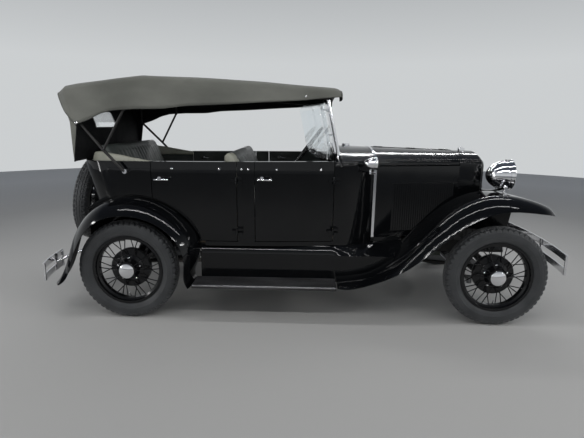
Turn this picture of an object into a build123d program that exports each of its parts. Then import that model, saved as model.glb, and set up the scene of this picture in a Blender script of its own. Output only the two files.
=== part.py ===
from build123d import *
import math
import os

# An open four-door touring car of about 1930, at its real size in millimetres.
# While it is built, x runs forward from the rear axle, y to the car's left and z up from the ground.
# At the end every piece moves along x, so that the origin lies on the ground under the middle of the length.

# Driving dimensions of the running gear
WHEELBASE = 2629.0
TRACK = 1422.0
TYRE_RADIUS = 361.0
TYRE_WIDTH = 121.0
BEAD_RADIUS = 241.3
FRONT_REACH = 3150.0
REAR_REACH = -650.0

# Driving dimensions of the body, measured from the rear axle and the ground
SILL_Z = 526.0
DOOR_BOTTOM_Z = 563.0
BELT_Z = 1070.0
BELT_PROUD = 4.0
BODY_TOP_REAR_Z = 1128.0
BODY_TOP_FRONT_Z = 1147.0
BODY_HALF_WIDTH = 668.0
BODY_WIDEST_X = 650.0
SIDE_BOW_RADIUS = 6600.0
REAR_CORNER_RADIUS = 205.0
DOOR_WALL = 40.0
BODY_TAIL_X = -420.0

REAR_DOOR_BACK_X = 171.0
REAR_DOOR_FRONT_X = 780.0
FRONT_DOOR_BACK_X = 912.0
FRONT_DOOR_FRONT_X = 1471.0
DOOR_GAP = 5.0
COWL_BACK_X = 1476.0
BAND_X = 1777.0
BAND_LENGTH = 20.0
HOOD_BACK_X = 1802.0
HOOD_FRONT_X = 2452.0
SHELL_BACK_X = 2457.0
SHELL_FRONT_X = 2648.0
HOOD_BOTTOM_Z = 562.0
SHEET = 5.0

SILL_TOP_Z = DOOR_BOTTOM_Z - DOOR_GAP
FLOOR_Z = 545.0
FLOOR_THICK = 14.0
REAR_FLOOR_Z = 700.0
HEEL_X = 480.0
TOE_X = 1560.0

ARCH_X = 20.0
ARCH_Z = 365.0
ARCH_RADIUS = 527.0
DOOR_ARCH_RADIUS = 531.0
DOOR_ARCH_INSIDE = 537.0
DOOR_ARCH_SKIN = 8.0
FENDER_SHEET = 5.0
WHEELHOUSE_Y = 585.0

BOARD_TOP_Z = 288.0
BOARD_THICK = 26.0
BOARD_INNER_Y = 639.5
BOARD_OUTER_Y = 838.0
BOARD_BACK_X = 478.0
BOARD_FRONT_X = 1498.0

# Frame rails, which kick up over the rear axle
RAIL_TOP_Z = 524.0
RAIL_DEPTH = 96.0
RAIL_WIDTH = 46.0
RAIL_SHEET = 6.0
RAIL_BACK_Y = 400.0
RAIL_FRONT_Y = 330.0
RAIL_REAR_X = -195.0
RAIL_NOSE_X = 2840.0
KICK_RISE = 117.0
KICK_BACK_X = 190.0
KICK_FRONT_X = 410.0
FRONT_CROSS_LOW_Z = 455.0
REAR_CROSS_LOW_Z = 560.0

# Steering
KINGPIN_Y = 612.0
KINGPIN_RADIUS = 10.3
RUNNING_FIT = 0.05
SPINDLE_RADIUS = 16.0
TIE_ARM_BACK = 140.0
TIE_ROD_Z = 284.0
SEAT_GAP = 0.3

# Seats: the riser's back, front and half width, and the height of the cushion's underside
SEAT_RISER = (825.0, 1210.0, 520.0)
SEAT_BASE_Z = 700.0
TOE_HALF = 440.0

RIGHT = -1
LEFT = 1


def box(x0, x1, y0, y1, z0, z1):
    """A block between two corners."""
    return Pos((x0 + x1) / 2, (y0 + y1) / 2, (z0 + z1) / 2) * Box(x1 - x0, y1 - y0, z1 - z0)


def rod(start, end, radius):
    """A round bar between two points."""
    first = Vector(*start)
    last = Vector(*end)
    return extrude(Plane(origin=first, z_dir=last - first) * Circle(radius), amount=(last - first).length)


def side_prism(points, y0, y1):
    """A side view outline of x and z points, made solid from y0 to y1."""
    plane = Plane(origin=(0, max(y0, y1), 0), x_dir=(1, 0, 0), z_dir=(0, -1, 0))
    return extrude(plane * make_face(Polyline(*points, close=True)), amount=abs(y1 - y0))


def side_disc(x, z, radius, y0, y1):
    """A round disc lying across the car from y0 to y1."""
    return rod((x, min(y0, y1), z), (x, max(y0, y1), z), radius)


def front_prism(points, x0, x1):
    """A front view outline of y and z points, made solid from x0 to x1."""
    plane = Plane(origin=(x0, 0, 0), x_dir=(0, 1, 0), z_dir=(1, 0, 0))
    return extrude(plane * make_face(Polyline(*points, close=True)), amount=x1 - x0)


def mirrored(shape):
    """The same piece on the car's other side."""
    return mirror(shape, about=Plane.XZ)


def both_sides(shape):
    """The piece and its mirror image, as separate solids."""
    return [shape, mirrored(shape)]


def body_half_width(x):
    """Half the body's width at the belt: one long bowed side."""
    return BODY_HALF_WIDTH - SIDE_BOW_RADIUS + math.sqrt(SIDE_BOW_RADIUS**2 - (x - BODY_WIDEST_X) ** 2)


def body_top_z(x):
    """Height of the body's top edge, which rises a little towards the windscreen."""
    share = (x - BODY_TAIL_X) / (COWL_BACK_X - BODY_TAIL_X)
    return BODY_TOP_REAR_Z + share * (BODY_TOP_FRONT_Z - BODY_TOP_REAR_Z)


# Body levels: height, x of the back panel, how far the side lies inside the belt's width
BODY_LEVELS = (
    (SILL_Z, -240.0, 26.0),
    (820.0, -308.0, 9.0),
    (BELT_Z, -372.0, 0.0),
    (1165.0, -394.0, 14.0),
)


def body_outline(z, back_x, inset, wall):
    """One level of the body in plan: flat back, round corners and bowed sides."""
    radius = REAR_CORNER_RADIUS - wall
    back = back_x + wall
    side_start = back + radius
    front = COWL_BACK_X

    def half(x):
        return body_half_width(x) - inset - wall

    side_middle = (side_start + front) / 2
    corner_y = half(side_start) - radius
    diagonal = radius * math.sqrt(0.5)
    left = [
        Line((back, 0), (back, corner_y)),
        ThreePointArc(
            (back, corner_y),
            (side_start - diagonal, corner_y + diagonal),
            (side_start, half(side_start)),
        ),
        ThreePointArc((side_start, half(side_start)), (side_middle, half(side_middle)), (front, half(front))),
        Line((front, half(front)), (front, 0)),
    ]
    right = [mirror(edge, about=Plane.XZ) for edge in left]
    return Plane.XY.offset(z) * make_face(left + right)


def body_solid(wall):
    """The body's whole outer form, or what is left inside a wall of the given thickness."""
    sections = []
    for z, back_x, inset in BODY_LEVELS:
        sections.append(body_outline(z, back_x, inset, wall))
    return loft(sections, ruled=True)


def body_skin():
    """The bathtub of the body before it is split into panels, open above and below."""
    skin = body_solid(0) - body_solid(DOOR_WALL)
    above = side_prism(
        [
            (BODY_TAIL_X, body_top_z(BODY_TAIL_X)),
            (COWL_BACK_X + 10, body_top_z(COWL_BACK_X + 10)),
            (COWL_BACK_X + 10, 1300),
            (BODY_TAIL_X, 1300),
        ],
        -900,
        900,
    )
    return skin - above


def belt_moulding(x0, x1, side):
    """The raised half-round bead along the belt."""
    proud = BELT_PROUD
    height = 24.0
    plan = []
    steps = 4
    for i in range(steps + 1):
        x = x0 + (x1 - x0) * i / steps
        plan.append((x, side * (body_half_width(x) + proud)))
    for i in range(steps, -1, -1):
        x = x0 + (x1 - x0) * i / steps
        plan.append((x, side * (body_half_width(x) - 6.0)))
    face = Plane.XY.offset(BELT_Z - height / 2) * make_face(Polyline(*plan, close=True))
    return extrude(face, amount=height)


def slice_x(shape, x0, x1, side):
    """The part of a skin between two stations on one side."""
    return shape & box(x0, x1, *sorted((side * 300.0, side * 900.0)), SILL_Z - 10, 1400)


def wheel_arch(radius, side):
    """The round cut that clears the rear fender."""
    return side_disc(ARCH_X, ARCH_Z, radius, side * 560.0, side * 900.0)


def rear_door(skin, side):
    """Rear door: hinged at its front edge, cut away over the fender."""
    door = slice_x(skin, REAR_DOOR_BACK_X, REAR_DOOR_FRONT_X, side)
    door = door - box(-100, 2000, -900, 900, 0, DOOR_BOTTOM_Z)
    door = door + belt_moulding(REAR_DOOR_BACK_X, REAR_DOOR_FRONT_X, side)
    inside = wheel_arch(DOOR_ARCH_INSIDE, side) & body_solid(DOOR_ARCH_SKIN)
    return door - wheel_arch(DOOR_ARCH_RADIUS, side) - inside


def front_door(skin, side):
    """Front door: hinged at its front edge."""
    door = slice_x(skin, FRONT_DOOR_BACK_X, FRONT_DOOR_FRONT_X, side)
    door = door - box(-100, 2000, -900, 900, 0, DOOR_BOTTOM_Z)
    return door + belt_moulding(FRONT_DOOR_BACK_X, FRONT_DOOR_FRONT_X, side)


HANDLE_LENGTH = 102.0
HANDLE_STAND = 42.0


def door_handle(x, z, side):
    """A bar handle on its turned base, pointing forward."""
    wall_y = body_half_width(x) - 6.0
    base = rod((x, side * wall_y, z), (x, side * (wall_y + 16), z), 15.0)
    neck = rod((x, side * wall_y, z), (x, side * (wall_y + HANDLE_STAND), z), 7.0)
    bar_y = side * (wall_y + HANDLE_STAND)
    bar = rod((x - 0.3 * HANDLE_LENGTH, bar_y, z - 4), (x + 0.7 * HANDLE_LENGTH, bar_y, z - 4), 7.5)
    return base + neck + bar


HINGE_OUT = 14.0
HINGE_RADIUS = 8.0
HINGE_LENGTH = 46.0
HINGE_HEIGHTS = (640.0, 1010.0)


def hinge_point(front_x):
    """Where a door's upright hinge line stands, outside the body's side."""
    return front_x + DOOR_GAP / 2, body_half_width(front_x) + HINGE_OUT


def hinge_leaves(front_x, side, on_door):
    """Hinge knuckles and leaves: the door carries the middle ones, the pillar the outer ones."""
    x, y = hinge_point(front_x)
    third = HINGE_LENGTH / 3
    pieces = []
    for z in HINGE_HEIGHTS:
        if on_door:
            spans = ((z - third / 2 + SEAT_GAP, z + third / 2 - SEAT_GAP),)
            leaf = (x - 40.0, x)
        else:
            spans = ((z - 1.5 * third, z - third / 2), (z + third / 2, z + 1.5 * third))
            leaf = (x, x + 40.0)
        for low, high in spans:
            knuckle = rod((x, side * y, low), (x, side * y, high), HINGE_RADIUS)
            inner = body_half_width(front_x) - 30.0
            arm = box(*leaf, *sorted((side * inner, side * (y - 2))), low, high)
            pieces.append(knuckle + arm)
    return pieces


def fused(shapes):
    """All the shapes as one."""
    whole = shapes[0]
    for shape in shapes[1:]:
        whole = whole + shape
    return whole


def body_tub(skin):
    """Rear quarters and back panel, with the wheelhouses that close the cabin off from the wheels."""
    tub = skin & box(BODY_TAIL_X, REAR_DOOR_BACK_X - DOOR_GAP, -900, 900, SILL_Z - 10, 1400)
    for side in (RIGHT, LEFT):
        tub = tub - wheel_arch(ARCH_RADIUS, side)
        tub = tub + belt_moulding(-150.0, REAR_DOOR_BACK_X - DOOR_GAP, side)
        house = side_disc(ARCH_X, ARCH_Z, ARCH_RADIUS + 18, side * (WHEELHOUSE_Y - 6), side * WHEELHOUSE_Y)
        flange = side_disc(ARCH_X, ARCH_Z, ARCH_RADIUS + 18, side * WHEELHOUSE_Y, side * (WHEELHOUSE_Y + 24))
        flange = flange - side_disc(ARCH_X, ARCH_Z, ARCH_RADIUS, side * 580, side * 640)
        house = (house + flange) & box(-330, 560, *sorted((side * 570.0, side * 640.0)), FLOOR_Z, 1000)
        rear_of_door = box(-330, REAR_DOOR_BACK_X - DOOR_GAP, -700, 700, FLOOR_Z, 1000)
        ahead = box(REAR_DOOR_BACK_X - DOOR_GAP, 560, -WHEELHOUSE_Y, WHEELHOUSE_Y, FLOOR_Z, 1000)
        tub = tub + (house & rear_of_door) + (house & ahead)
    return tub


def body_side(skin, side):
    """The sill with the centre pillar that stands on it, and the hinge leaves for both doors."""
    sill = skin & box(545.0, COWL_BACK_X, *sorted((side * 300.0, side * 900.0)), SILL_Z - 10, SILL_TOP_Z)
    pillar = slice_x(skin, REAR_DOOR_FRONT_X + DOOR_GAP, FRONT_DOOR_BACK_X - DOOR_GAP, side)
    piece = sill + pillar
    piece = piece + belt_moulding(REAR_DOOR_FRONT_X + DOOR_GAP, FRONT_DOOR_BACK_X - DOOR_GAP, side)
    return fused([piece] + hinge_leaves(REAR_DOOR_FRONT_X, side, False))


def floor():
    """Cabin floor, heel board, raised pan over the axle, sloping toe board and the front seat's riser."""
    inner = BODY_HALF_WIDTH
    thick = FLOOR_THICK
    profile = [
        (-215.0, REAR_FLOOR_Z),
        (HEEL_X, REAR_FLOOR_Z),
        (HEEL_X, FLOOR_Z),
        (TOE_X, FLOOR_Z),
        (1750.0, 720.0),
        (1750.0 + thick, 720.0 - thick),
        (TOE_X + thick / 2, FLOOR_Z - thick),
        (HEEL_X - thick, FLOOR_Z - thick),
        (HEEL_X - thick, REAR_FLOOR_Z - thick),
        (-215.0, REAR_FLOOR_Z - thick),
    ]
    pan = side_prism(profile, -inner, inner)
    cabin = pan & body_solid(DOOR_WALL + SEAT_GAP)
    toe = pan & box(COWL_BACK_X - 20, 1800, -TOE_HALF, TOE_HALF, 500, 800)
    narrow_y = WHEELHOUSE_Y - 6 - SEAT_GAP
    for side in (RIGHT, LEFT):
        cabin = cabin - box(-400, HEEL_X + 90, *sorted((side * narrow_y, side * 900.0)), 500, 800)
    back_x, front_x, riser_y = SEAT_RISER
    riser = box(back_x, front_x, -riser_y, riser_y, FLOOR_Z - 1, SEAT_BASE_Z - SEAT_GAP)
    wall = FLOOR_THICK
    riser = riser - box(back_x + wall, front_x - wall, wall - riser_y, riser_y - wall, FLOOR_Z, SEAT_BASE_Z)
    return cabin + toe + riser


# Cowl and hood stations: x, half width at the shoulder, shoulder height, top height, shoulder radius
COWL_STATIONS = (
    (COWL_BACK_X, 613.0, 1141.0, 1236.0, 40.0),
    (1640.0, 560.0, 1146.0, 1231.0, 40.0),
    (BAND_X, 458.0, 1149.0, 1227.0, 40.0),
)
HOOD_STATIONS = (
    (HOOD_BACK_X, 452.0, 1149.0, 1226.0, 38.0),
    (HOOD_FRONT_X, 300.0, 1143.0, 1206.0, 38.0),
)
SHELL_STATIONS = (
    (SHELL_BACK_X, 299.0, 1143.0, 1206.0, 38.0),
    (SHELL_FRONT_X - 22, 290.0, 1140.0, 1204.0, 46.0),
    (SHELL_FRONT_X, 272.0, 1124.0, 1188.0, 50.0),
)


def crowned_section(station, bottom_z, bottom_in, wall):
    """A cross-section with upright sides, round shoulders and an arched top."""
    x, half, shoulder_z, top_z, radius = station
    y = half - wall
    low = bottom_z - (5.0 if wall else 0.0)
    shoulder = shoulder_z - 0.7 * wall
    edges = [
        Line((-(y - bottom_in), low), (-y, shoulder)),
        ThreePointArc((-y, shoulder), (0, top_z - wall), (y, shoulder)),
        Line((y, shoulder), (y - bottom_in, low)),
        Line((y - bottom_in, low), (-(y - bottom_in), low)),
    ]
    face = make_face(edges)
    shoulders = [v for v in face.vertices() if abs(v.Y - shoulder) < 1e-3]
    face = fillet(shoulders, radius - 0.5 * wall)
    return Plane(origin=(x, 0, 0), x_dir=(0, 1, 0), z_dir=(1, 0, 0)) * face


def crowned_loft(stations, bottom_z, bottom_in, wall, ruled):
    """The form that runs through the given stations."""
    sections = [crowned_section(station, bottom_z, bottom_in, wall) for station in stations]
    return loft(sections, ruled=ruled)


COWL_WALL = 12.0


def cowl():
    """Scuttle between the doors and the hood, with the firewall, dash panel and filler neck."""
    shell = crowned_loft(COWL_STATIONS, SILL_Z, 26.0, 0, False)
    shell = shell - crowned_loft(COWL_STATIONS, SILL_Z, 26.0, COWL_WALL, False)
    solid = crowned_loft(COWL_STATIONS, SILL_Z, 26.0, COWL_WALL - 1, False)
    firewall = solid & box(BAND_X - 10, BAND_X, -600, 600, 740, 1300)
    dash = solid & box(COWL_BACK_X, COWL_BACK_X + 14, -640, 640, 1030, 1300)
    neck = rod((1600.0, 0, 1200.0), (1600.0, 0, 1252.0), 32.0)
    piece = shell + firewall + dash + neck
    for side in (RIGHT, LEFT):
        piece = fused([piece] + hinge_leaves(FRONT_DOOR_FRONT_X, side, False))
    return piece - rod(*column_line(-40.0, 900.0), COLUMN_RADIUS + 6.0)


COWL_LAMP_X = 1731.0
COWL_LAMP_Y = 585.0
COWL_LAMP_Z = 1134.0
COWL_LAMP_RADIUS = 45.0


def cowl_band():
    """The bright band between cowl and hood, with the two small lamps on their arms."""
    front = (BAND_X + BAND_LENGTH, 455.0, 1149.0, 1227.0, 40.0)
    back = (BAND_X + SEAT_GAP, 455.0, 1149.0, 1227.0, 40.0)
    proud_back = (back[0], 461.0, 1154.0, 1233.0, 42.0)
    proud_front = (front[0], 461.0, 1154.0, 1233.0, 42.0)
    band = crowned_loft((proud_back, proud_front), HOOD_BOTTOM_Z, 18.0, 0, True)
    band = band - crowned_loft((back, front), HOOD_BOTTOM_Z, 18.0, 14.0, True)
    for side in (RIGHT, LEFT):
        lamp = cowl_lamp()
        arm = rod((BAND_X + 10, 456.0, 1050.0), (COWL_LAMP_X, COWL_LAMP_Y, 1066.0), 7.0)
        arm = arm + rod((COWL_LAMP_X, COWL_LAMP_Y, 1060.0), (COWL_LAMP_X, COWL_LAMP_Y, 1092.0), 8.0)
        piece = lamp + arm
        band = band + (piece if side == LEFT else mirrored(piece))
    return band


def lamp_bowl(radius, depth, rim):
    """A round lamp about the x axis, its lens face at x = 0 and its bowl behind."""
    profile = [
        Line((0, 0), (0, radius)),
        Line((0, radius), (-rim, radius)),
        Line((-rim, radius), (-rim, radius * 0.94)),
        ThreePointArc((-rim, radius * 0.94), (-0.72 * depth, radius * 0.68), (-depth, 0)),
        Line((-depth, 0), (0, 0)),
    ]
    return revolve(make_face(profile), axis=Axis.X)


def cowl_lamp():
    """The left cowl lamp."""
    return Pos(COWL_LAMP_X + 40, COWL_LAMP_Y, COWL_LAMP_Z) * lamp_bowl(COWL_LAMP_RADIUS, 92.0, 14.0)


HINGE_ROD = 4.0
HINGE_KNUCKLE = 7.0
HOOD_KNUCKLES = (1830.0, 2100.0, 2370.0)
HOOD_KNUCKLE_LENGTH = 34.0
HOOD_GAP = 5.0
HOOD_SIDE_HINGE_Z = 1112.0


def hood_station(x):
    """The hood's cross-section at any station, on the straight run between its two ends."""
    first, last = HOOD_STATIONS
    share = (x - first[0]) / (last[0] - first[0])
    return (x, *[a + share * (b - a) for a, b in zip(first[1:], last[1:])])


def hood_skin():
    """Both halves of the hood as one sheet, before it is split at its hinges."""
    ends = (hood_station(BAND_X + BAND_LENGTH + SEAT_GAP), hood_station(SHELL_BACK_X - SEAT_GAP))
    return crowned_loft(ends, HOOD_BOTTOM_Z, 0.0, 0, True) - crowned_loft(ends, HOOD_BOTTOM_Z, 0.0, SHEET, True)


def hood_shoulder(x):
    """Half width of the hood at a station."""
    return hood_station(x)[1]


def hood_ridge(x):
    """A point of the centre hinge's line."""
    return x, 0, hood_station(x)[3]


def hood_top(skin, first_knuckle):
    """The right top panel, with its knuckles on the centre hinge and a rod along its lower edge."""
    edge = HOOD_GAP + HINGE_KNUCKLE
    panel = skin & box(HOOD_BACK_X, HOOD_FRONT_X, -700, -edge, HOOD_SIDE_HINGE_Z + 1, 1300)
    line = []
    for x in (HOOD_BACK_X, HOOD_FRONT_X):
        line.append((x, -hood_shoulder(x) + SHEET / 2, HOOD_SIDE_HINGE_Z))
    panel = panel + (rod(line[0], line[1], HINGE_ROD) & box(HOOD_BACK_X, HOOD_FRONT_X, -900, 0, 0, 1300))
    for x in HOOD_KNUCKLES:
        back = x + first_knuckle
        front = back + HOOD_KNUCKLE_LENGTH
        z = hood_station(front)[3]
        leaf = box(back, front, -edge - 6, 0, z - SHEET + 1, z - 0.5)
        panel = panel + leaf + rod(hood_ridge(back), hood_ridge(front), HINGE_KNUCKLE)
    return panel - rod(hood_ridge(HOOD_BACK_X - 10), hood_ridge(HOOD_FRONT_X + 10), HINGE_ROD + RUNNING_FIT)


LOUVRE_COUNT = 28
LOUVRE_PITCH = 17.6
LOUVRE_BACK_X = 1938.0
LOUVRE_LOW_Z = 610.0
LOUVRE_HIGH_Z = 975.0
LOUVRE_STAND = 9.0


def hood_side(skin):
    """The right side panel: a flat sheet with a row of upright louvres pressed out of it."""
    panel = skin & box(
        BAND_X, SHELL_FRONT_X, -700, -200, HOOD_BOTTOM_Z - 10, HOOD_SIDE_HINGE_Z - HINGE_ROD - HOOD_GAP
    )
    (x0, half0, *_), (x1, half1, *_) = HOOD_STATIONS
    along = Vector(x1 - x0, half0 - half1, 0).normalized()
    height = LOUVRE_HIGH_Z - LOUVRE_LOW_Z
    slots = []
    hoods = []
    for i in range(LOUVRE_COUNT):
        x = LOUVRE_BACK_X + i * LOUVRE_PITCH
        plane = Plane(origin=(x, -hood_shoulder(x), LOUVRE_LOW_Z), x_dir=along, z_dir=(0, 0, 1))
        slot = make_face(Polyline((-1.0, -2), (-1.0, SHEET + 2), (4.0, SHEET + 2), (4.0, -2), close=True))
        blade = make_face(
            Polyline((-11.0, 1.0), (-11.0, 0), (1.5, -LOUVRE_STAND), (3.0, -LOUVRE_STAND + 1.5), (-6.0, 1.0),
                     close=True)
        )
        slots.append(extrude(plane * slot, amount=height))
        hoods.append(extrude(plane * blade, amount=height))
    return panel - slots + hoods


def radiator_shell():
    """The radiator's surround, with the rod of the hood's centre hinge and the filler cap."""
    outer = crowned_loft(SHELL_STATIONS, HOOD_BOTTOM_Z, 6.0, 0, True)
    cavity_stations = (
        (SHELL_BACK_X - 1, 299.0, 1143.0, 1206.0, 38.0),
        (SHELL_FRONT_X - 24, 290.0, 1140.0, 1204.0, 46.0),
    )
    cavity = crowned_loft(cavity_stations, HOOD_BOTTOM_Z, 6.0, SHEET, True)
    opening_stations = (
        (SHELL_FRONT_X - 40, 262.0, 1112.0, 1172.0, 40.0),
        (SHELL_FRONT_X + 10, 252.0, 1102.0, 1162.0, 40.0),
    )
    opening = crowned_loft(opening_stations, HOOD_BOTTOM_Z + 40, 4.0, 0, True)
    shell = outer - cavity - opening
    top_back = hood_ridge(BAND_X + BAND_LENGTH + SEAT_GAP)
    top_front = hood_ridge(SHELL_BACK_X + 12)
    cap = rod((SHELL_BACK_X + 95, 0, 1201.5), (SHELL_BACK_X + 95, 0, 1226.0), 30.0)
    cap = cap + rod((SHELL_BACK_X + 95, 0, 1226.0), (SHELL_BACK_X + 95, 0, 1236.0), 12.0)
    return shell + rod(top_back, top_front, HINGE_ROD) + cap


CORE_FIN_COUNT = 36


def radiator_core():
    """The radiator inside its surround, with upright fins on its front."""
    stations = (
        (SHELL_BACK_X + 95, 288.3, 1136.8, 1199.2, 46.0),
        (SHELL_BACK_X + 160, 285.0, 1135.8, 1198.2, 48.0),
    )
    core = crowned_loft(stations, HOOD_BOTTOM_Z + 14, 8.0, 0, True)
    fins = []
    for side in (RIGHT, LEFT):
        foot = sorted((side * 150.0, side * 200.0))
        fins.append(box(2575.0, 2605.0, *foot, RAIL_TOP_Z + SEAT_GAP, HOOD_BOTTOM_Z + 18))
    front_x = stations[1][0]
    for i in range(CORE_FIN_COUNT):
        y = -238.0 + i * 476.0 / (CORE_FIN_COUNT - 1)
        fins.append(box(front_x - 2, front_x + 5, y - 2.0, y + 2.0, HOOD_BOTTOM_Z + 60, 1095))
    return core + fins


CREST_Y = 700.0


def fender_section(x, z, tilt, drop, inner_y, outer_y, inner_drop, crest_y):
    """A crowned sheet section across the right fender, square to its run, crest at (x, z)."""
    angle = math.radians(tilt)
    plane = Plane(
        origin=(x, -crest_y, z),
        x_dir=(0, -1, 0),
        z_dir=Vector(0, -1, 0).cross(Vector(-math.sin(angle), 0, math.cos(angle))),
    )

    def arc(reach, fall, inset):
        radius = (reach**2 + fall**2) / (2 * fall)
        sweep = 2 * math.atan2(fall, reach)
        centre = -radius
        points = []
        for share in (1.0, 0.5, 0.0):
            turn = sweep * share
            points.append(((radius - inset) * math.sin(turn), centre + (radius - inset) * math.cos(turn)))
        return points

    out_top = arc(outer_y - crest_y, drop, 0)
    out_low = arc(outer_y - crest_y, drop, FENDER_SHEET)
    in_top = [(-a, b) for a, b in arc(crest_y - inner_y, inner_drop, 0)]
    in_low = [(-a, b) for a, b in arc(crest_y - inner_y, inner_drop, FENDER_SHEET)]
    edges = [
        ThreePointArc(in_top[0], in_top[1], (0, 0)),
        ThreePointArc((0, 0), out_top[1], out_top[0]),
        Line(out_top[0], out_low[0]),
        ThreePointArc(out_low[0], out_low[1], (0, -FENDER_SHEET)),
        ThreePointArc((0, -FENDER_SHEET), in_low[1], in_low[0]),
        Line(in_low[0], in_top[0]),
    ]
    return plane * make_face(edges)


# Front fender stations: x, z, tilt of the run, drop to the lip, inner edge y, lip y
FRONT_FENDER = (
    (1502.0, 312.0, 2.0, 24.0, 639.5, 838.0),
    (1690.0, 338.0, 14.0, 32.0, 639.5, 842.0),
    (1860.0, 417.0, 34.0, 46.0, 600.0, 845.0),
    (2040.0, 575.0, 44.0, 78.0, 472.0, 848.0),
    (2230.0, 765.0, 42.0, 96.0, 432.0, 848.0),
    (2410.0, 886.0, 26.0, 100.0, 432.0, 848.0),
    (2613.0, 937.0, 3.0, 92.0, 432.0, 848.0),
    (2800.0, 914.0, -16.0, 74.0, 440.0, 842.0),
    (2912.0, 879.0, -29.0, 56.0, 480.0, 822.0),
    (2978.0, 828.0, -46.0, 20.0, 560.0, 780.0),
)

# Rear fender stations: x, z, tilt of the run, drop to the lip, lip y
REAR_FENDER = (
    (470.0, 262.0, -88.0, 14.0, 846.0),
    (482.0, 400.0, -82.0, 50.0, 848.0),
    (503.0, 545.0, -70.0, 86.0, 848.0),
    (352.0, 760.0, -40.0, 92.0, 848.0),
    (110.0, 873.0, -10.0, 104.0, 848.0),
    (-150.0, 852.0, 19.0, 104.0, 848.0),
    (-312.0, 735.0, 46.0, 98.0, 848.0),
    (-405.0, 575.0, 64.0, 90.0, 848.0),
    (-460.0, 415.0, 74.0, 84.0, 846.0),
    (-545.0, 258.0, 96.0, 72.0, 842.0),
)


def front_fender():
    """The right front fender: one sweep from the running board over the wheel to its tip."""
    sections = []
    for x, z, tilt, drop, inner_y, outer_y in FRONT_FENDER:
        crest_y = min(CREST_Y, (inner_y + outer_y) / 2 + 40)
        sections.append(fender_section(x, z, tilt, drop, inner_y, outer_y, 6.0, crest_y))
    edge_y = VALANCE_Y + SEAT_GAP
    fender = loft(sections) - box(2000.0, 3000.0, -edge_y, 0.0, 400.0, 1000.0)
    return fender - box(FRONT_FENDER[0][0] - 20, APRON_FRONT_X + 5, -APRON_OUTER_Y - 0.4, 0.0, 200.0, 600.0)


REAR_CREST_Y = 652.0


def rear_fender():
    """The right rear fender: it passes in under the body's side and flares out behind the wheel."""
    sections = []
    for x, z, tilt, drop, outer_y in REAR_FENDER:
        sections.append(
            fender_section(x, z, tilt, drop, WHEELHOUSE_Y + 0.5, outer_y, 4.0, REAR_CREST_Y)
        )
    return loft(sections)


RIB_COUNT = 12


def running_board():
    """The right running board, with the ribs of its mat running lengthwise."""
    low = BOARD_TOP_Z - BOARD_THICK
    board = box(BOARD_BACK_X, BOARD_FRONT_X, -BOARD_OUTER_Y, -BOARD_INNER_Y, low, BOARD_TOP_Z)
    board = fillet(board.edges().filter_by(Axis.X).sort_by(Axis.Y)[0:2], 10.0)
    ribs = []
    for i in range(RIB_COUNT):
        y = -BOARD_OUTER_Y + 26.0 + i * 14.0
        ribs.append(box(BOARD_BACK_X + 30, BOARD_FRONT_X - 20, y - 3, y + 3, BOARD_TOP_Z - 1, BOARD_TOP_Z + 3))
    return board + ribs


APRON_OUTER_Y = 639.0
APRON_BEND_Z = 462.0
APRON_BACK_X = 508.0
APRON_FRONT_X = 1660.0
APRON_LOW_Z = BOARD_TOP_Z - BOARD_THICK
APRON_TOP_Z = SILL_Z - SEAT_GAP

# Front sweep of the apron: x, lower edge z, inner edge y, inner edge z
APRON_SWEEP = (
    (COWL_BACK_X, APRON_LOW_Z, 604.0, APRON_TOP_Z),
    (APRON_FRONT_X, APRON_LOW_Z, 516.0, APRON_TOP_Z),
    (BAND_X, 345.0, 432.0, APRON_TOP_Z),
    (2011.0, 450.0, 432.0, 541.0),
)


def apron_section(x, low, inner_y, inner_z):
    """A cross-section of the right apron: upright face, round bend and a shelf that rises inwards."""
    face = -APRON_OUTER_Y
    bend = APRON_BEND_Z
    middle = ((face - inner_y) / 2 - 6.0, (bend + inner_z) / 2 + 3.0)
    edges = [
        Line((face, low), (face, bend)),
        ThreePointArc((face, bend), middle, (-inner_y, inner_z)),
        Line((-inner_y, inner_z), (-inner_y + 5, inner_z - 4)),
        ThreePointArc((-inner_y + 5, inner_z - 4), (middle[0] + 5, middle[1] - 3), (face + 5, bend)),
        Line((face + 5, bend), (face + 5, low)),
        Line((face + 5, low), (face, low)),
    ]
    return Plane(origin=(x, 0, 0), x_dir=(0, 1, 0), z_dir=(1, 0, 0)) * make_face(edges)


def splash_apron(fender):
    """The right apron: from the running board in under the sill, and on in a shelf to the hood's foot."""
    first = APRON_SWEEP[0]
    length = COWL_BACK_X - APRON_BACK_X
    straight = Pos(-length, 0, 0) * extrude(apron_section(*first), amount=length)
    sweep = loft([apron_section(*row) for row in APRON_SWEEP], ruled=True)
    for rise in (-0.4, 0.0, 0.4):
        sweep = sweep - Pos(0, 0, rise) * fender
    foot = [
        (BAND_X + BAND_LENGTH + SEAT_GAP, 530.0),
        (2011.0, 540.0),
        (2011.0, HOOD_BOTTOM_Z - SEAT_GAP),
        (BAND_X + BAND_LENGTH + SEAT_GAP, HOOD_BOTTOM_Z - SEAT_GAP),
    ]
    return straight + sweep + side_prism(foot, -VALANCE_Y - 1.0, -VALANCE_Y + 5)


VALANCE_Y = 431.0


def valance():
    """The right inner panel that closes the space between the frame and the front fender."""
    outline = [
        (2012.0, 522.0),
        (2100.0, 628.0),
        (2230.0, 752.0),
        (2410.0, 872.0),
        (2613.0, 926.0),
        (2800.0, 904.0),
        (2830.0, 800.0),
        (2790.0, 560.0),
        (2300.0, 545.0),
        (2012.0, 500.0),
    ]
    return side_prism(outline, -VALANCE_Y + 5, -VALANCE_Y)


def rail_y(x):
    """Where a frame rail's outer face lies: the frame narrows towards the front."""
    share = min(max((x - 1200.0) / 1300.0, 0.0), 1.0)
    return RAIL_BACK_Y + share * (RAIL_FRONT_Y - RAIL_BACK_Y)


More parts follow.
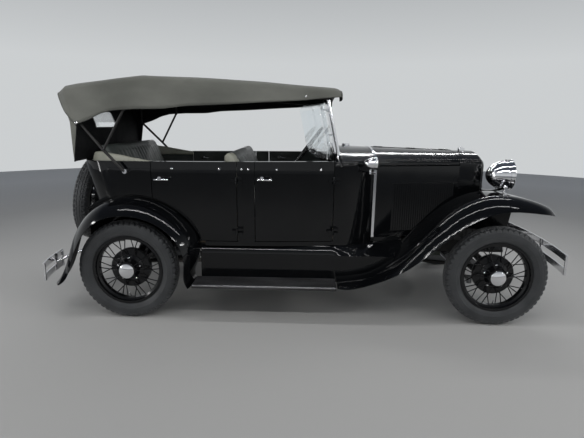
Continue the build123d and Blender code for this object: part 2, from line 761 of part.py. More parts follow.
def rail_bar(outer_in, inner_in, sheet):
    """The right rail's plan run and side view crossed, or the hollow that leaves the given sheet."""
    stations = (RAIL_REAR_X, 1200.0, 2500.0, RAIL_NOSE_X)
    outer = [(x, -rail_y(x) + outer_in) for x in stations]
    inner = [(x, -rail_y(x) + inner_in) for x in reversed(stations)]
    plan = extrude(Plane.XY.offset(300.0) * make_face(Polyline(*outer, *inner, close=True)), amount=500.0)
    low = RAIL_TOP_Z - RAIL_DEPTH + sheet
    top = RAIL_TOP_Z - sheet
    run = [
        (RAIL_REAR_X, low + KICK_RISE),
        (KICK_BACK_X, low + KICK_RISE),
        (KICK_FRONT_X, low),
        (RAIL_NOSE_X, low),
        (RAIL_NOSE_X, top),
        (KICK_FRONT_X, top),
        (KICK_BACK_X, top + KICK_RISE),
        (RAIL_REAR_X, top + KICK_RISE),
    ]
    return plan & side_prism(run, -600.0, -100.0)


def frame_rail():
    """The right frame rail, a channel open inwards."""
    return rail_bar(0.0, RAIL_WIDTH, 0.0) - rail_bar(RAIL_SHEET, RAIL_WIDTH + 1, RAIL_SHEET)


def chassis_frame():
    """Two rails joined by the crossmembers, with the brackets that carry body, aprons and valances."""
    rail = frame_rail()
    low = RAIL_TOP_Z - RAIL_DEPTH
    pieces = [rail, mirrored(rail)]
    rear_y = RAIL_BACK_Y - RAIL_SHEET
    front_y = RAIL_FRONT_Y - RAIL_SHEET
    pieces.append(box(-60, 60, -rear_y, rear_y, REAR_CROSS_LOW_Z, REAR_CROSS_LOW_Z + 60))
    pieces.append(box(RAIL_REAR_X, RAIL_REAR_X + 50, -rear_y, rear_y, REAR_CROSS_LOW_Z, REAR_CROSS_LOW_Z + 60))
    pieces.append(box(1150, 1210, -rear_y, rear_y, low + 10, low + 50))
    pieces.append(box(WHEELBASE - 55, WHEELBASE + 55, -front_y, front_y, FRONT_CROSS_LOW_Z, RAIL_TOP_Z))
    for side in (RIGHT, LEFT):
        for x in (620.0, 1380.0):
            outer = APRON_OUTER_Y - 5 - SEAT_GAP
            pieces.append(box(x, x + 40, *sorted((side * (RAIL_BACK_Y - 40), side * outer)), low, low + 30))
            block = sorted((side * (RAIL_BACK_Y - 34), side * (RAIL_BACK_Y - 6)))
            pieces.append(box(x, x + 60, *block, RAIL_TOP_Z - 1, FLOOR_Z - FLOOR_THICK - SEAT_GAP))
        for x in (2110.0, 2540.0):
            outer = VALANCE_Y - 5 - SEAT_GAP
            pieces.append(box(x, x + 30, *sorted((side * (rail_y(x) - 20), side * outer)), 545.0, 551.0))
            pieces.append(box(x, x + 30, *sorted((side * (rail_y(x) - 20), side * (rail_y(x) - 8))), 520.0, 550.0))
    return fused(pieces)


SPRING_HALF_REAR = 520.0
SPRING_HALF_FRONT = 460.0


def leaf_spring(x, half, top_z, end_z):
    """A transverse leaf spring: five arched leaves clamped under a crossmember."""
    leaves = []
    for i in range(5):
        reach = half * (1 - 0.17 * i)
        rise = (top_z - end_z) * (reach / half) ** 2
        z = top_z + 8.0 * i - 32.0
        arch = [
            ThreePointArc((-reach, z - rise), (0, z), (reach, z - rise)),
            Line((reach, z - rise), (reach, z - rise - 8.0)),
            ThreePointArc((reach, z - rise - 8.0), (0, z - 8.0), (-reach, z - rise - 8.0)),
            Line((-reach, z - rise - 8.0), (-reach, z - rise)),
        ]
        plane = Plane(origin=(x - 28, 0, 0), x_dir=(0, 1, 0), z_dir=(1, 0, 0))
        leaves.append(extrude(plane * make_face(arch), amount=56.0))
    return fused(leaves)


AXLE_EYE_RADIUS = 24.0
AXLE_EYE_HALF = 34.0
KINGPIN_STAND = 20.0
BELL_RADIUS = 170.0
BELL_Z = 480.0
FRONT_BALL = (1880.0, 0, 288.0)


def front_axle():
    """Forged beam with its kingpins, the transverse spring, its shackles and the radius rods."""
    beam = [
        (-KINGPIN_Y, TYRE_RADIUS + 30),
        (-KINGPIN_Y + 90, TYRE_RADIUS + 24),
        (-330.0, 332.0),
        (330.0, 332.0),
        (KINGPIN_Y - 90, TYRE_RADIUS + 24),
        (KINGPIN_Y, TYRE_RADIUS + 30),
        (KINGPIN_Y, TYRE_RADIUS - 30),
        (KINGPIN_Y - 90, TYRE_RADIUS - 34),
        (320.0, 272.0),
        (-320.0, 272.0),
        (-KINGPIN_Y + 90, TYRE_RADIUS - 34),
        (-KINGPIN_Y, TYRE_RADIUS - 30),
    ]
    axle = front_prism(beam, WHEELBASE - 22, WHEELBASE + 22)
    for face_x in (WHEELBASE - 23, WHEELBASE + 12):
        channel = [
            (-540.0, TYRE_RADIUS + 4),
            (-330.0, 318.0),
            (330.0, 318.0),
            (540.0, TYRE_RADIUS + 4),
            (540.0, TYRE_RADIUS - 18),
            (322.0, 286.0),
            (-322.0, 286.0),
            (-540.0, TYRE_RADIUS - 18),
        ]
        axle = axle - front_prism(channel, face_x, face_x + 11)
    pieces = [axle, leaf_spring(WHEELBASE, SPRING_HALF_FRONT, FRONT_CROSS_LOW_Z - SEAT_GAP, 420.0)]
    ball_x, _, ball_z = FRONT_BALL
    ball_radius = BELL_Z - BELL_RADIUS - SEAT_GAP - ball_z
    for side in (RIGHT, LEFT):
        y = side * KINGPIN_Y
        low = TYRE_RADIUS - AXLE_EYE_HALF
        high = TYRE_RADIUS + AXLE_EYE_HALF
        pieces.append(rod((WHEELBASE, y, low), (WHEELBASE, y, high), AXLE_EYE_RADIUS))
        pieces.append(rod((WHEELBASE, y, low - KINGPIN_STAND), (WHEELBASE, y, high + KINGPIN_STAND), KINGPIN_RADIUS))
        end_y = side * (SPRING_HALF_FRONT - 12)
        pieces.append(rod((WHEELBASE, end_y, 330.0), (WHEELBASE, end_y, 384.0), 12.0))
        pieces.append(rod((WHEELBASE, side * 440.0, 345.0), (ball_x, side * 12.0, ball_z), 14.0))
    pieces.append(rod((ball_x - 30, 0, ball_z), (ball_x + 15, 0, ball_z), ball_radius))
    return fused(pieces)


REAR_AXLE_TUBE = 38.0
DRUM_RADIUS = 143.0
DRUM_INNER_Y = TRACK / 2 - 52.0
PLATE_GAP = 5.0


def rear_axle():
    """Banjo housing, axle tubes, torque tube, spring and the backing plates of the rear brakes."""
    pieces = [side_disc(0, TYRE_RADIUS, 128.0, -72.0, 72.0)]
    pieces.append(side_disc(0, TYRE_RADIUS, 96.0, -120.0, 120.0))
    tube_y = DRUM_INNER_Y - PLATE_GAP
    pieces.append(side_disc(0, TYRE_RADIUS, REAR_AXLE_TUBE, -tube_y, tube_y))
    spindle_y = TRACK / 2 + 46.0
    pieces.append(side_disc(0, TYRE_RADIUS, SPINDLE_RADIUS, -spindle_y, spindle_y))
    pieces.append(rod((60.0, 0, TYRE_RADIUS + 4), (1400.0, 0, 402.0), 36.0))
    pieces.append(leaf_spring(0, SPRING_HALF_REAR, REAR_CROSS_LOW_Z - SEAT_GAP, 440.0))
    for side in (RIGHT, LEFT):
        plate_y = side * tube_y
        pieces.append(side_disc(0, TYRE_RADIUS, DRUM_RADIUS, plate_y - side * 6, plate_y))
        end_y = side * (SPRING_HALF_REAR - 14)
        pieces.append(rod((0, end_y, TYRE_RADIUS), (0, end_y, 405.0), 14.0))
        pieces.append(rod((0, side * 470.0, TYRE_RADIUS - 20), (1330.0, side * 30.0, 396.0), 14.0))
    return fused(pieces)


def engine_block():
    """Engine, bell housing and gearbox as one plain block."""
    block = box(1900.0, 2440.0, -118.0, 118.0, 470.0, 940.0)
    pan = box(1920.0, 2420.0, -105.0, 105.0, 330.0, 470.0)
    bell = rod((1720.0, 0, BELL_Z), (1905.0, 0, BELL_Z), BELL_RADIUS)
    gearbox = box(1460.0, 1725.0, -95.0, 95.0, 380.0, 520.0)
    joint = rod((1402.0, 0, 402.0), (1465.0, 0, 402.0), 40.0)
    arms = box(1790.0, 1850.0, -345.0, 345.0, RAIL_TOP_Z - RAIL_DEPTH + RAIL_SHEET + SEAT_GAP, 500.0)
    return block + pan + bell + gearbox + joint + arms


def exhaust():
    """Exhaust pipe and muffler along the right of the torque tube."""
    route = FilletPolyline(
        (2080.0, -118.0 - SEAT_GAP, 500.0),
        (2080.0, -250.0, 500.0),
        (1960.0, -290.0, 340.0),
        (1320.0, -290.0, 330.0),
        radius=60.0,
    )
    pipe = sweep(Plane(origin=route @ 0, z_dir=route % 0) * Circle(22.0), path=route)
    muffler = rod((1330.0, -290.0, 330.0), (900.0, -290.0, 322.0), 60.0)
    tail = rod((905.0, -290.0, 322.0), (-250.0, -290.0, 285.0), 18.0)
    return pipe + muffler + tail


RIM_FLANGE_RADIUS = BEAD_RADIUS + 11.0
RIM_HALF_WIDTH = 46.0
SPOKE_RADIUS = 3.6
HUB_CAP_RADIUS = 52.0
HUB_CAP_LIP_Y = 69.0
HUB_CAP_Y = 80.0


def tyre():
    """A road tyre about the y axis through the origin."""
    half = TYRE_WIDTH / 2
    side_r = BEAD_RADIUS + 0.5 * (TYRE_RADIUS - BEAD_RADIUS)
    shoulder_r = TYRE_RADIUS - 15.0
    bead = BEAD_RADIUS
    over = RIM_FLANGE_RADIUS + 2.0
    profile = [
        Line((bead, -38.0), (bead, 38.0)),
        Line((bead, 38.0), (over, 38.0)),
        ThreePointArc((over, 38.0), (side_r, half), (shoulder_r, half - 11.0)),
        ThreePointArc((shoulder_r, half - 11.0), (TYRE_RADIUS, 0), (shoulder_r, -half + 11.0)),
        ThreePointArc((shoulder_r, -half + 11.0), (side_r, -half), (over, -38.0)),
        Line((over, -38.0), (bead, -38.0)),
    ]
    return revolve(make_face(profile), axis=Axis.Y)


def ring(profile):
    """A closed outline of radius and y points, turned about the y axis."""
    return revolve(make_face(Polyline(*profile, close=True)), axis=Axis.Y)


def dome_points(radius, rise):
    """Rim, middle and crown of a shallow dome: distance from its axis, height over its rim."""
    ball = (radius**2 + rise**2) / (2 * rise)
    half_turn = 0.5 * math.asin(radius / ball)
    middle = (ball * math.sin(half_turn), rise - ball + ball * math.cos(half_turn))
    return (radius, 0.0), middle, (0.0, rise)


# Spoke rows: how many, hub radius, hub y, rim y, how far the rim end is turned on from the hub end
SPOKE_ROWS = (
    (10, 58.0, 52.0, -4.0, 0.0),
    (10, 92.0, -16.0, 10.0, 24.0),
    (10, 92.0, -30.0, 2.0, -24.0),
)


def wire_wheel(with_drum):
    """A wire wheel about the y axis, its outer face towards +y: rim, hub shell, spokes and hub cap."""
    bead = BEAD_RADIUS - 0.3
    rim = ring(
        [
            (bead, -39.0),
            (RIM_FLANGE_RADIUS, -41.0),
            (RIM_FLANGE_RADIUS, -RIM_HALF_WIDTH),
            (bead - 6, -RIM_HALF_WIDTH),
            (bead - 8, -26.0),
            (bead - 22, -18.0),
            (bead - 22, 18.0),
            (bead - 8, 26.0),
            (bead - 6, RIM_HALF_WIDTH),
            (RIM_FLANGE_RADIUS, RIM_HALF_WIDTH),
            (RIM_FLANGE_RADIUS, 41.0),
            (bead, 39.0),
            (bead - 3, 22.0),
            (bead - 17, 14.0),
            (bead - 17, -14.0),
            (bead - 3, -22.0),
        ]
    )
    bore = SPINDLE_RADIUS + RUNNING_FIT
    drum_back = DRUM_INNER_Y - TRACK / 2
    outline = []
    if with_drum:
        outline += [(bore, drum_back), (DRUM_RADIUS, drum_back)]
        for i in range(3):
            y = drum_back + 6.0 + 9.0 * i
            outline += [(DRUM_RADIUS, y), (DRUM_RADIUS - 5, y + 1.5), (DRUM_RADIUS - 5, y + 4.5), (DRUM_RADIUS, y + 6)]
        outline += [(DRUM_RADIUS, drum_back + 34.0), (100.0, drum_back + 38.0)]
    else:
        outline += [(bore, -46.0), (100.0, -46.0)]
    outline += [(100.0, -8.0), (76.0, 4.0), (66.0, 44.0), (62.0, 60.0), (HUB_CAP_RADIUS, 60.0)]
    lip, middle, crown = dome_points(HUB_CAP_RADIUS, HUB_CAP_Y - HUB_CAP_LIP_Y)
    hub_edges = [
        Polyline(*outline, (HUB_CAP_RADIUS, HUB_CAP_LIP_Y)),
        ThreePointArc(*[(radius, HUB_CAP_LIP_Y + rise) for radius, rise in (lip, middle, crown)]),
        Polyline((0.0, HUB_CAP_Y), (0.0, 58.0), (bore, 58.0), outline[0]),
    ]
    wheel = rim + revolve(make_face(hub_edges), axis=Axis.Y)
    spokes = []
    rim_radius = bead - 19.0
    for count, hub_radius, hub_y, rim_y, turn in SPOKE_ROWS:
        for i in range(count):
            hub_angle = math.radians(360.0 * i / count - turn / 2)
            rim_angle = math.radians(360.0 * i / count + turn / 2)
            start = (hub_radius * math.cos(hub_angle), hub_y, hub_radius * math.sin(hub_angle))
            end = (rim_radius * math.cos(rim_angle), rim_y, rim_radius * math.sin(rim_angle))
            spokes.append(rod(start, end, SPOKE_RADIUS))
    return wheel + spokes


def placed_wheel(shape, x, side):
    """A wheel or tyre drawn about the origin, set on its hub at one side."""
    placed = shape if side == LEFT else mirrored(shape)
    return Pos(x, side * TRACK / 2, TYRE_RADIUS) * placed


EAR_THICK = 18.0
SPINDLE_END_Y = TRACK / 2 + 46.0
BALL_RADIUS = 8.0
EYE_RADIUS = 20.0
DRAG_BALL_IN = 130.0
DRAG_BALL_Z = 448.0


def knuckle():
    """The right stub axle: two ears on the kingpin, spindle, backing plate and tie rod arm."""
    y = -KINGPIN_Y
    x = WHEELBASE
    low_ear = TYRE_RADIUS - AXLE_EYE_HALF - SEAT_GAP - EAR_THICK
    high_ear = TYRE_RADIUS + AXLE_EYE_HALF + SEAT_GAP
    plate_y = -(DRUM_INNER_Y - PLATE_GAP)
    pieces = []
    for z in (low_ear, high_ear):
        pieces.append(rod((x, y, z), (x, y, z + EAR_THICK), AXLE_EYE_RADIUS - 2))
        pieces.append(box(x - 20, x + 20, plate_y + 5, y, z, z + EAR_THICK))
    arm_low = TIE_ROD_Z + TIE_EYE_UP + SEAT_GAP
    arm_high = arm_low + EAR_THICK
    ball_x = x - TIE_ARM_BACK
    pieces.append(rod((x, y, arm_low), (x, y, arm_high), AXLE_EYE_RADIUS - 2))
    pieces.append(box(ball_x, x, y - 12, y + 12, arm_low, arm_high))
    pieces.append(rod((ball_x, y, arm_low), (ball_x, y, arm_high), EYE_RADIUS - 2))
    body = fused(pieces)
    bore = rod((x, y, low_ear - 60), (x, y, high_ear + 60), KINGPIN_RADIUS + RUNNING_FIT)
    body = body - bore
    plate = side_disc(x, TYRE_RADIUS, DRUM_RADIUS, plate_y, plate_y + 6)
    spindle = side_disc(x, TYRE_RADIUS, SPINDLE_RADIUS, -SPINDLE_END_Y, plate_y + 3)
    stud = rod((ball_x, y, TIE_ROD_Z - TIE_EYE_DOWN), (ball_x, y, arm_high - 2), BALL_RADIUS)
    return body + plate + spindle + stud


def knuckle_left():
    """The left stub axle carries the drag link's arm as well."""
    x = WHEELBASE
    high_ear = TYRE_RADIUS + AXLE_EYE_HALF + SEAT_GAP
    arm_low = DRAG_BALL_Z - 30.0
    arm_high = arm_low + 14.0
    ball_y = KINGPIN_Y - DRAG_BALL_IN
    neck = box(x - 16, x + 16, KINGPIN_Y + 12, KINGPIN_Y + 28, high_ear + 4, arm_high)
    arm = box(x - 13, x + 13, ball_y, KINGPIN_Y + 28, arm_low, arm_high)
    pad = rod((x, ball_y, arm_low), (x, ball_y, arm_high), EYE_RADIUS - 3)
    stud = rod((x, ball_y, arm_high - 4), (x, ball_y, DRAG_BALL_Z + 28), BALL_RADIUS)
    return mirrored(knuckle()) + neck + arm + pad + stud


def tie_rod():
    """The rod that joins both knuckle arms."""
    x = WHEELBASE - TIE_ARM_BACK
    y = KINGPIN_Y
    low = TIE_ROD_Z - TIE_EYE_DOWN
    high = TIE_ROD_Z + TIE_EYE_UP
    bar = rod((x, 16 - y, TIE_ROD_Z), (x, y - 16, TIE_ROD_Z), 11.0)
    for side in (RIGHT, LEFT):
        bar = bar + rod((x, side * y, low), (x, side * y, high), EYE_RADIUS)
        bar = bar - rod((x, side * y, low - 6), (x, side * y, high + 6), BALL_RADIUS + RUNNING_FIT)
    return bar


def drag_link():
    """The link from the steering arm to the left knuckle; its front end is an open jaw round the stud."""
    x = WHEELBASE
    y = KINGPIN_Y - DRAG_BALL_IN
    z = DRAG_BALL_Z
    bar = rod((PITMAN_X + 12, PITMAN_Y, z), (x - 16, y - 3, z), 9.5)
    eye = rod((x, y, z - 12), (x, y, z + 14), EYE_RADIUS)
    rear = side_disc(PITMAN_X, z, EYE_RADIUS, PITMAN_Y - 10, PITMAN_Y + 10)
    room = BALL_RADIUS + OPEN_PIVOT_ROOM
    hole = rod((x, y, z - 20), (x, y, z + 20), room) + box(x - room, x + room, y, y + 30, z - 20, z + 20)
    rear_hole = side_disc(PITMAN_X, z, BALL_RADIUS + RUNNING_FIT, PITMAN_Y - 20, PITMAN_Y + 20)
    return bar + eye + rear - hole - rear_hole


def pitman_arm():
    """The steering box's drop arm: its shaft turns in the box and its stud carries the drag link."""
    shaft = side_disc(PITMAN_X, GEAR_Z, PITMAN_SHAFT, GEAR_OUTER_Y - 30, PITMAN_FACE_Y + 2)
    high = PITMAN_FACE_Y + 16
    hub = side_disc(PITMAN_X, GEAR_Z, 22.0, PITMAN_FACE_Y, high)
    foot = side_disc(PITMAN_X, DRAG_BALL_Z, 17.0, PITMAN_FACE_Y, high)
    blade = [
        (PITMAN_X - 19, GEAR_Z),
        (PITMAN_X - 12, DRAG_BALL_Z),
        (PITMAN_X + 12, DRAG_BALL_Z),
        (PITMAN_X + 19, GEAR_Z),
    ]
    stud = side_disc(PITMAN_X, DRAG_BALL_Z, BALL_RADIUS, high - 2, PITMAN_Y + 10)
    return shaft + hub + foot + side_prism(blade, PITMAN_FACE_Y, high) + stud


# Steering column
WHEEL_CENTRE = (1285.0, 350.0, 1201.0)
COLUMN_TILT = 37.2
COLUMN_RADIUS = 20.0
STEERING_RIM_RADIUS = 211.0
STEERING_RIM_THICK = 12.0
COLUMN_LENGTH = 880.0

# Steering box and drop arm
GEAR_Z = 629.0
GEAR_RADIUS = 60.0
GEAR_INNER_Y = 285.0
GEAR_OUTER_Y = 366.0
PITMAN_X = 1996.0
PITMAN_Y = 410.0
PITMAN_FACE_Y = 372.0
PITMAN_SHAFT = 12.0
OPEN_PIVOT_ROOM = 2.5
TIE_EYE_DOWN = 14.0
TIE_EYE_UP = 16.0


def column_line(start, end):
    """Two points on the steering column's line, at distances down from the steering wheel's centre."""
    turn = math.radians(COLUMN_TILT)
    x, y, z = WHEEL_CENTRE
    points = []
    for reach in (start, end):
        points.append((x + reach * math.cos(turn), y, z - reach * math.sin(turn)))
    return points


def steering_column():
    """Column tube, steering box and its arm, with the two control stalks under the wheel."""
    tube = rod(*column_line(48.0, COLUMN_LENGTH), COLUMN_RADIUS)
    shaft = rod(*column_line(0.0, 60.0), 9.0)
    gear = side_disc(PITMAN_X, GEAR_Z, GEAR_RADIUS, GEAR_INNER_Y, GEAR_OUTER_Y)
    foot = box(PITMAN_X - 40, PITMAN_X + 40, 318.0, 350.0, RAIL_TOP_Z + SEAT_GAP, GEAR_Z)
    stalk = column_line(52.0, 60.0)[0]
    stalks = rod((stalk[0], 350.0 - 130, stalk[2]), (stalk[0], 350.0 + 130, stalk[2]), 5.0)
    shaft_hole = side_disc(PITMAN_X, GEAR_Z, PITMAN_SHAFT + RUNNING_FIT, GEAR_OUTER_Y - 40, GEAR_OUTER_Y + 10)
    return tube + shaft + gear + foot + stalks - shaft_hole


def steering_wheel():
    """Rim, hub and four spokes, square to the column."""
    turn = math.radians(COLUMN_TILT)
    axis = Vector(-math.cos(turn), 0, math.sin(turn))
    plane = Plane(origin=WHEEL_CENTRE, x_dir=(0, 1, 0), z_dir=axis)
    rim = plane * Torus(STEERING_RIM_RADIUS, STEERING_RIM_THICK)
    hub = extrude(plane.offset(-34.0) * Circle(34.0), amount=52.0)
    hub = hub - extrude(plane.offset(-60.0) * Circle(9.0 + RUNNING_FIT), amount=66.0)
    spokes = []
    for i in range(4):
        a = math.radians(45 + 90 * i)
        inner = plane.from_local_coords((28 * math.cos(a), 28 * math.sin(a), -16))
        reach = STEERING_RIM_RADIUS
        outer = plane.from_local_coords((reach * math.cos(a), reach * math.sin(a), 0))
        spokes.append(rod(tuple(inner), tuple(outer), 7.0))
    return rim + hub + spokes


# Windscreen
SCREEN_FOOT = (1493.0, 1172.0)
SCREEN_HEAD = (1403.0, 1578.0)
SCREEN_HALF = 535.0
SCREEN_TUBE = 11.0
SCREEN_BORDER = 20.0
SCREEN_CROWN = 69.5
SCREEN_ARCH = 74.0
POST_Y = 562.0
POST_RADIUS = 11.0
POST_FOOT = (1532.0, 600.0, 1105.0)
GLASS_THICK = 6.0
WING_SWING = 8.0


def screen_point(share):
    """A point of the leaning windscreen between its foot at 0 and its head at 1, as x and z."""
    x = SCREEN_FOOT[0] + share * (SCREEN_HEAD[0] - SCREEN_FOOT[0])
    z = SCREEN_FOOT[1] + share * (SCREEN_HEAD[1] - SCREEN_FOOT[1])
    return x, z


def screen_plane():
    """The windscreen's plane: its x runs to the left and its y up the glass."""
    up = Vector(SCREEN_HEAD[0] - SCREEN_FOOT[0], 0, SCREEN_HEAD[1] - SCREEN_FOOT[1])
    return Plane(origin=(SCREEN_FOOT[0], 0, SCREEN_FOOT[1]), x_dir=(0, 1, 0), z_dir=Vector(0, 1, 0).cross(up))


def screen_height():
    """Length of the windscreen's side from foot to head."""
    return math.dist(SCREEN_FOOT, SCREEN_HEAD)


def screen_outline(inset):
    """The windscreen's outline in its own plane: its lower edge follows the crown of the cowl."""
    height = screen_height()
    whole = Pos(0, height / 2) * RectangleRounded(2 * (SCREEN_HALF - inset), height - 2 * inset, 40.0 - inset / 2)
    sill_radius = (SCREEN_HALF**2 + SCREEN_ARCH**2) / (2 * SCREEN_ARCH)
    return whole - Pos(0, SCREEN_CROWN - sill_radius) * Circle(sill_radius + inset)


def cowl_form(growth):
    """The cowl's outer form, grown a little, to cut what stands on it."""
    return crowned_loft(COWL_STATIONS, SILL_Z, 26.0, -growth, False)


def windshield_frame():
    """Bright frame round the glass, with its two posts, clamps and stanchions."""
    frame = extrude(screen_plane() * (screen_outline(0) - screen_outline(SCREEN_BORDER)), amount=SCREEN_TUBE, both=True)
    pieces = [frame]
    for side in (RIGHT, LEFT):
        foot = screen_point(0.02)
        head = screen_point(1.0)
        pieces.append(
            rod((foot[0] + 14, side * POST_Y, foot[1]), (head[0] + 14, side * POST_Y, head[1]), POST_RADIUS)
        )
        pieces.append(
            rod((foot[0] + 14, side * POST_Y, foot[1]), (POST_FOOT[0], side * POST_FOOT[1], POST_FOOT[2]), 17.0)
        )
        for share in (0.30, 0.72):
            x, z = screen_point(share)
            pieces.append(rod((x + 4, side * (SCREEN_HALF - 8), z), (x + 14, side * (POST_Y + 16), z), 8.0))
    return fused(pieces) - cowl_form(SEAT_GAP)


def windshield_glass():
    """The pane inside the frame."""
    return extrude(screen_plane() * screen_outline(SCREEN_BORDER + SEAT_GAP), amount=GLASS_THICK / 2, both=True)


def wind_wing():
    """The right wind wing: a pane that swings back from the post, with its two clips."""
    outline = [
        (1218.0, 1500.0),
        (1248.0, 1530.0),
        (1384.0, 1546.0),
        (1430.0, 1330.0),
        (1445.0, 1205.0),
        (1420.0, 1168.0),
        (1345.0, 1172.0),
        (1290.0, 1215.0),
        (1262.0, 1290.0),
    ]
    pane = side_prism(outline, -GLASS_THICK / 2, GLASS_THICK / 2)
    hinge_x = 1432.0
    pane = Pos(-hinge_x, 0, 0) * pane
    pane_y = -POST_Y - 30
    wing = Pos(hinge_x, pane_y, 0) * (Rot(0, 0, WING_SWING) * pane)
    for z, edge_x in ((1330.0, 1422.0), (1500.0, 1386.0)):
        post_x = screen_point((z - SCREEN_FOOT[1]) / (SCREEN_HEAD[1] - SCREEN_FOOT[1]))[0] + 14.0
        start = (edge_x, pane_y + (edge_x - hinge_x) * math.tan(math.radians(WING_SWING)))
        reach = math.dist(start, (post_x, -POST_Y))
        share = 1.0 - (POST_RADIUS + 1.5) / reach
        end = (start[0] + share * (post_x - start[0]), start[1] + share * (-POST_Y - start[1]))
        wing = wing + rod((*start, z), (*end, z), 6.0)
    return wing


# Top: x, side height, centre height, half width at the rounded side
CANOPY_STATIONS = (
    (-535.0, 1604.0, 1636.0, 590.0),
    (-440.0, 1640.0, 1678.0, 640.0),
    (-183.0, 1673.0, 1718.0, 672.0),
    (150.0, 1712.0, 1752.0, 690.0),
    (688.0, 1694.0, 1736.0, 690.0),
    (1200.0, 1660.0, 1700.0, 672.0),
    (1470.0, 1640.0, 1676.0, 650.0),
    (1520.0, 1606.0, 1640.0, 636.0),
)
CANOPY_CLOTH = 8.0
CANOPY_FLARE = 12.0


def canopy_section(station, cloth):
    """A cross-section of the top: arched roof, round edges and sides that spread a little downwards."""
    x, side_z, top_z, half = station
    y = half - cloth
    low = BODY_TOP_REAR_Z - 4 - cloth
    edges = [
        Line((-(y + CANOPY_FLARE), low), (-y, side_z)),
        ThreePointArc((-y, side_z), (0, top_z - cloth), (y, side_z)),
        Line((y, side_z), (y + CANOPY_FLARE, low)),
        Line((y + CANOPY_FLARE, low), (-(y + CANOPY_FLARE), low)),
    ]
    face = make_face(edges)
    edge_corners = [v for v in face.vertices() if abs(v.Y - side_z) < 1e-3]
    face = fillet(edge_corners, 30.0 - cloth)
    return Plane(origin=(x, 0, 0), x_dir=(0, 1, 0), z_dir=(1, 0, 0)) * face


def canopy_form(cloth):
    """The top's outer form, or the space inside cloth of the given thickness."""
    stations = list(CANOPY_STATIONS)
    if cloth:
        first = stations[0]
        last = stations[-1]
        stations[0] = (first[0] + cloth, *first[1:])
        stations[-1] = (last[0] - cloth, *last[1:])
    form = loft([canopy_section(station, cloth) for station in stations], ruled=True)
    back = [
        (-560.0 + cloth, 1580.0),
        (-500.0 + cloth, 1570.0),
        (-474.0 + cloth, 1524.0),
        (-438.0 + cloth, 1462.0),
        (-412.0 + cloth, 1400.0),
        (-401.0 + cloth, 1199.0),
        (-391.4 + cloth, 1100.0),
        (-560.0 + cloth, 1100.0),
    ]
    return form - side_prism(back, -900, 900)


def top_canopy():
    """The cloth top with its rear curtain, open at the sides and in front, with a rear window."""
    cloth = canopy_form(0) - canopy_form(CANOPY_CLOTH)
    opening = [
        (-388.0, 1100.0),
        (-330.0, 1388.0),
        (-232.0, 1424.0),
        (-154.0, 1463.0),
        (-71.0, 1484.0),
        (92.0, 1495.0),
        (294.0, 1500.0),
        (427.0, 1517.0),
        (692.0, 1532.0),
        (953.0, 1547.0),
        (1266.0, 1567.0),
        (1394.0, 1580.0),
        (1600.0, 1592.0),
        (1600.0, 1090.0),
    ]
    cloth = cloth - side_prism(opening, -900, 900)
    return cloth - window_box(0)


def window_box(inset):
    """The rear window's opening through the curtain, drawn in by the given amount."""
    return box(-560, -380, inset - 200, 200 - inset, 1357 + inset, 1489 - inset)


def rear_window():
    """The pane sewn into the rear curtain."""
    return (canopy_form(2) - canopy_form(CANOPY_CLOTH - 2)) & window_box(SEAT_GAP)


def canopy_inner(x):
    """Side height, centre height and half width of the space under the cloth at a station."""
    for first, last in zip(CANOPY_STATIONS, CANOPY_STATIONS[1:]):
        if first[0] <= x <= last[0]:
            share = (x - first[0]) / (last[0] - first[0])
            side_z, top_z, half = [a + share * (b - a) for a, b in zip(first[1:], last[1:])]
            return side_z, top_z - CANOPY_CLOTH, half - CANOPY_CLOTH
    return None


def roof_under(x, y):
    """Height of the cloth's underside at a place of the roof."""
    side_z, top_z, half = canopy_inner(x)
    rise = top_z - side_z
    arc_radius = (half**2 + rise**2) / (2 * rise)
    return top_z - arc_radius + math.sqrt(arc_radius**2 - y**2)


IRON_BASE = (-11.0, 672.0, 1062.0)
IRON_JOINT = (-150.0, 672.0, 1210.0)
IRON_BACK = (-332.0, 626.0, 1404.0)
IRON_MAIN = (5.0, 655.0, 1492.0)
IRON_BALL_RADIUS = 16.0
BOW_XS = (-330.0, 5.0, 470.0, 960.0)


def tube(start, middle, end, radius):
    """A round bar bent to one arc through three points."""
    line = Edge.make_three_point_arc(start, middle, end)
    return sweep(Plane(origin=line.position_at(0), z_dir=line.tangent_at(0)) * Circle(radius), path=line)


BOW_RADIUS = 9.0
BOW_CORNER = 10.0
LEG_INSET = 22.0


def top_bow(x, low_z):
    """One hoop under the cloth, its legs reaching down to the irons."""
    leg_y = canopy_inner(x)[2] - LEG_INSET
    corner_z = roof_under(x, leg_y) - BOW_CORNER - 1.0
    middle = (x, 0, roof_under(x, 0) - BOW_RADIUS - 0.5)
    bow = tube((x, -leg_y, corner_z), middle, (x, leg_y, corner_z), BOW_RADIUS)
    for side in (RIGHT, LEFT):
        corner = (x, side * leg_y, corner_z)
        bow = bow + Pos(*corner) * Sphere(BOW_CORNER) + rod(corner, (x, side * leg_y, low_z), BOW_RADIUS)
    return bow


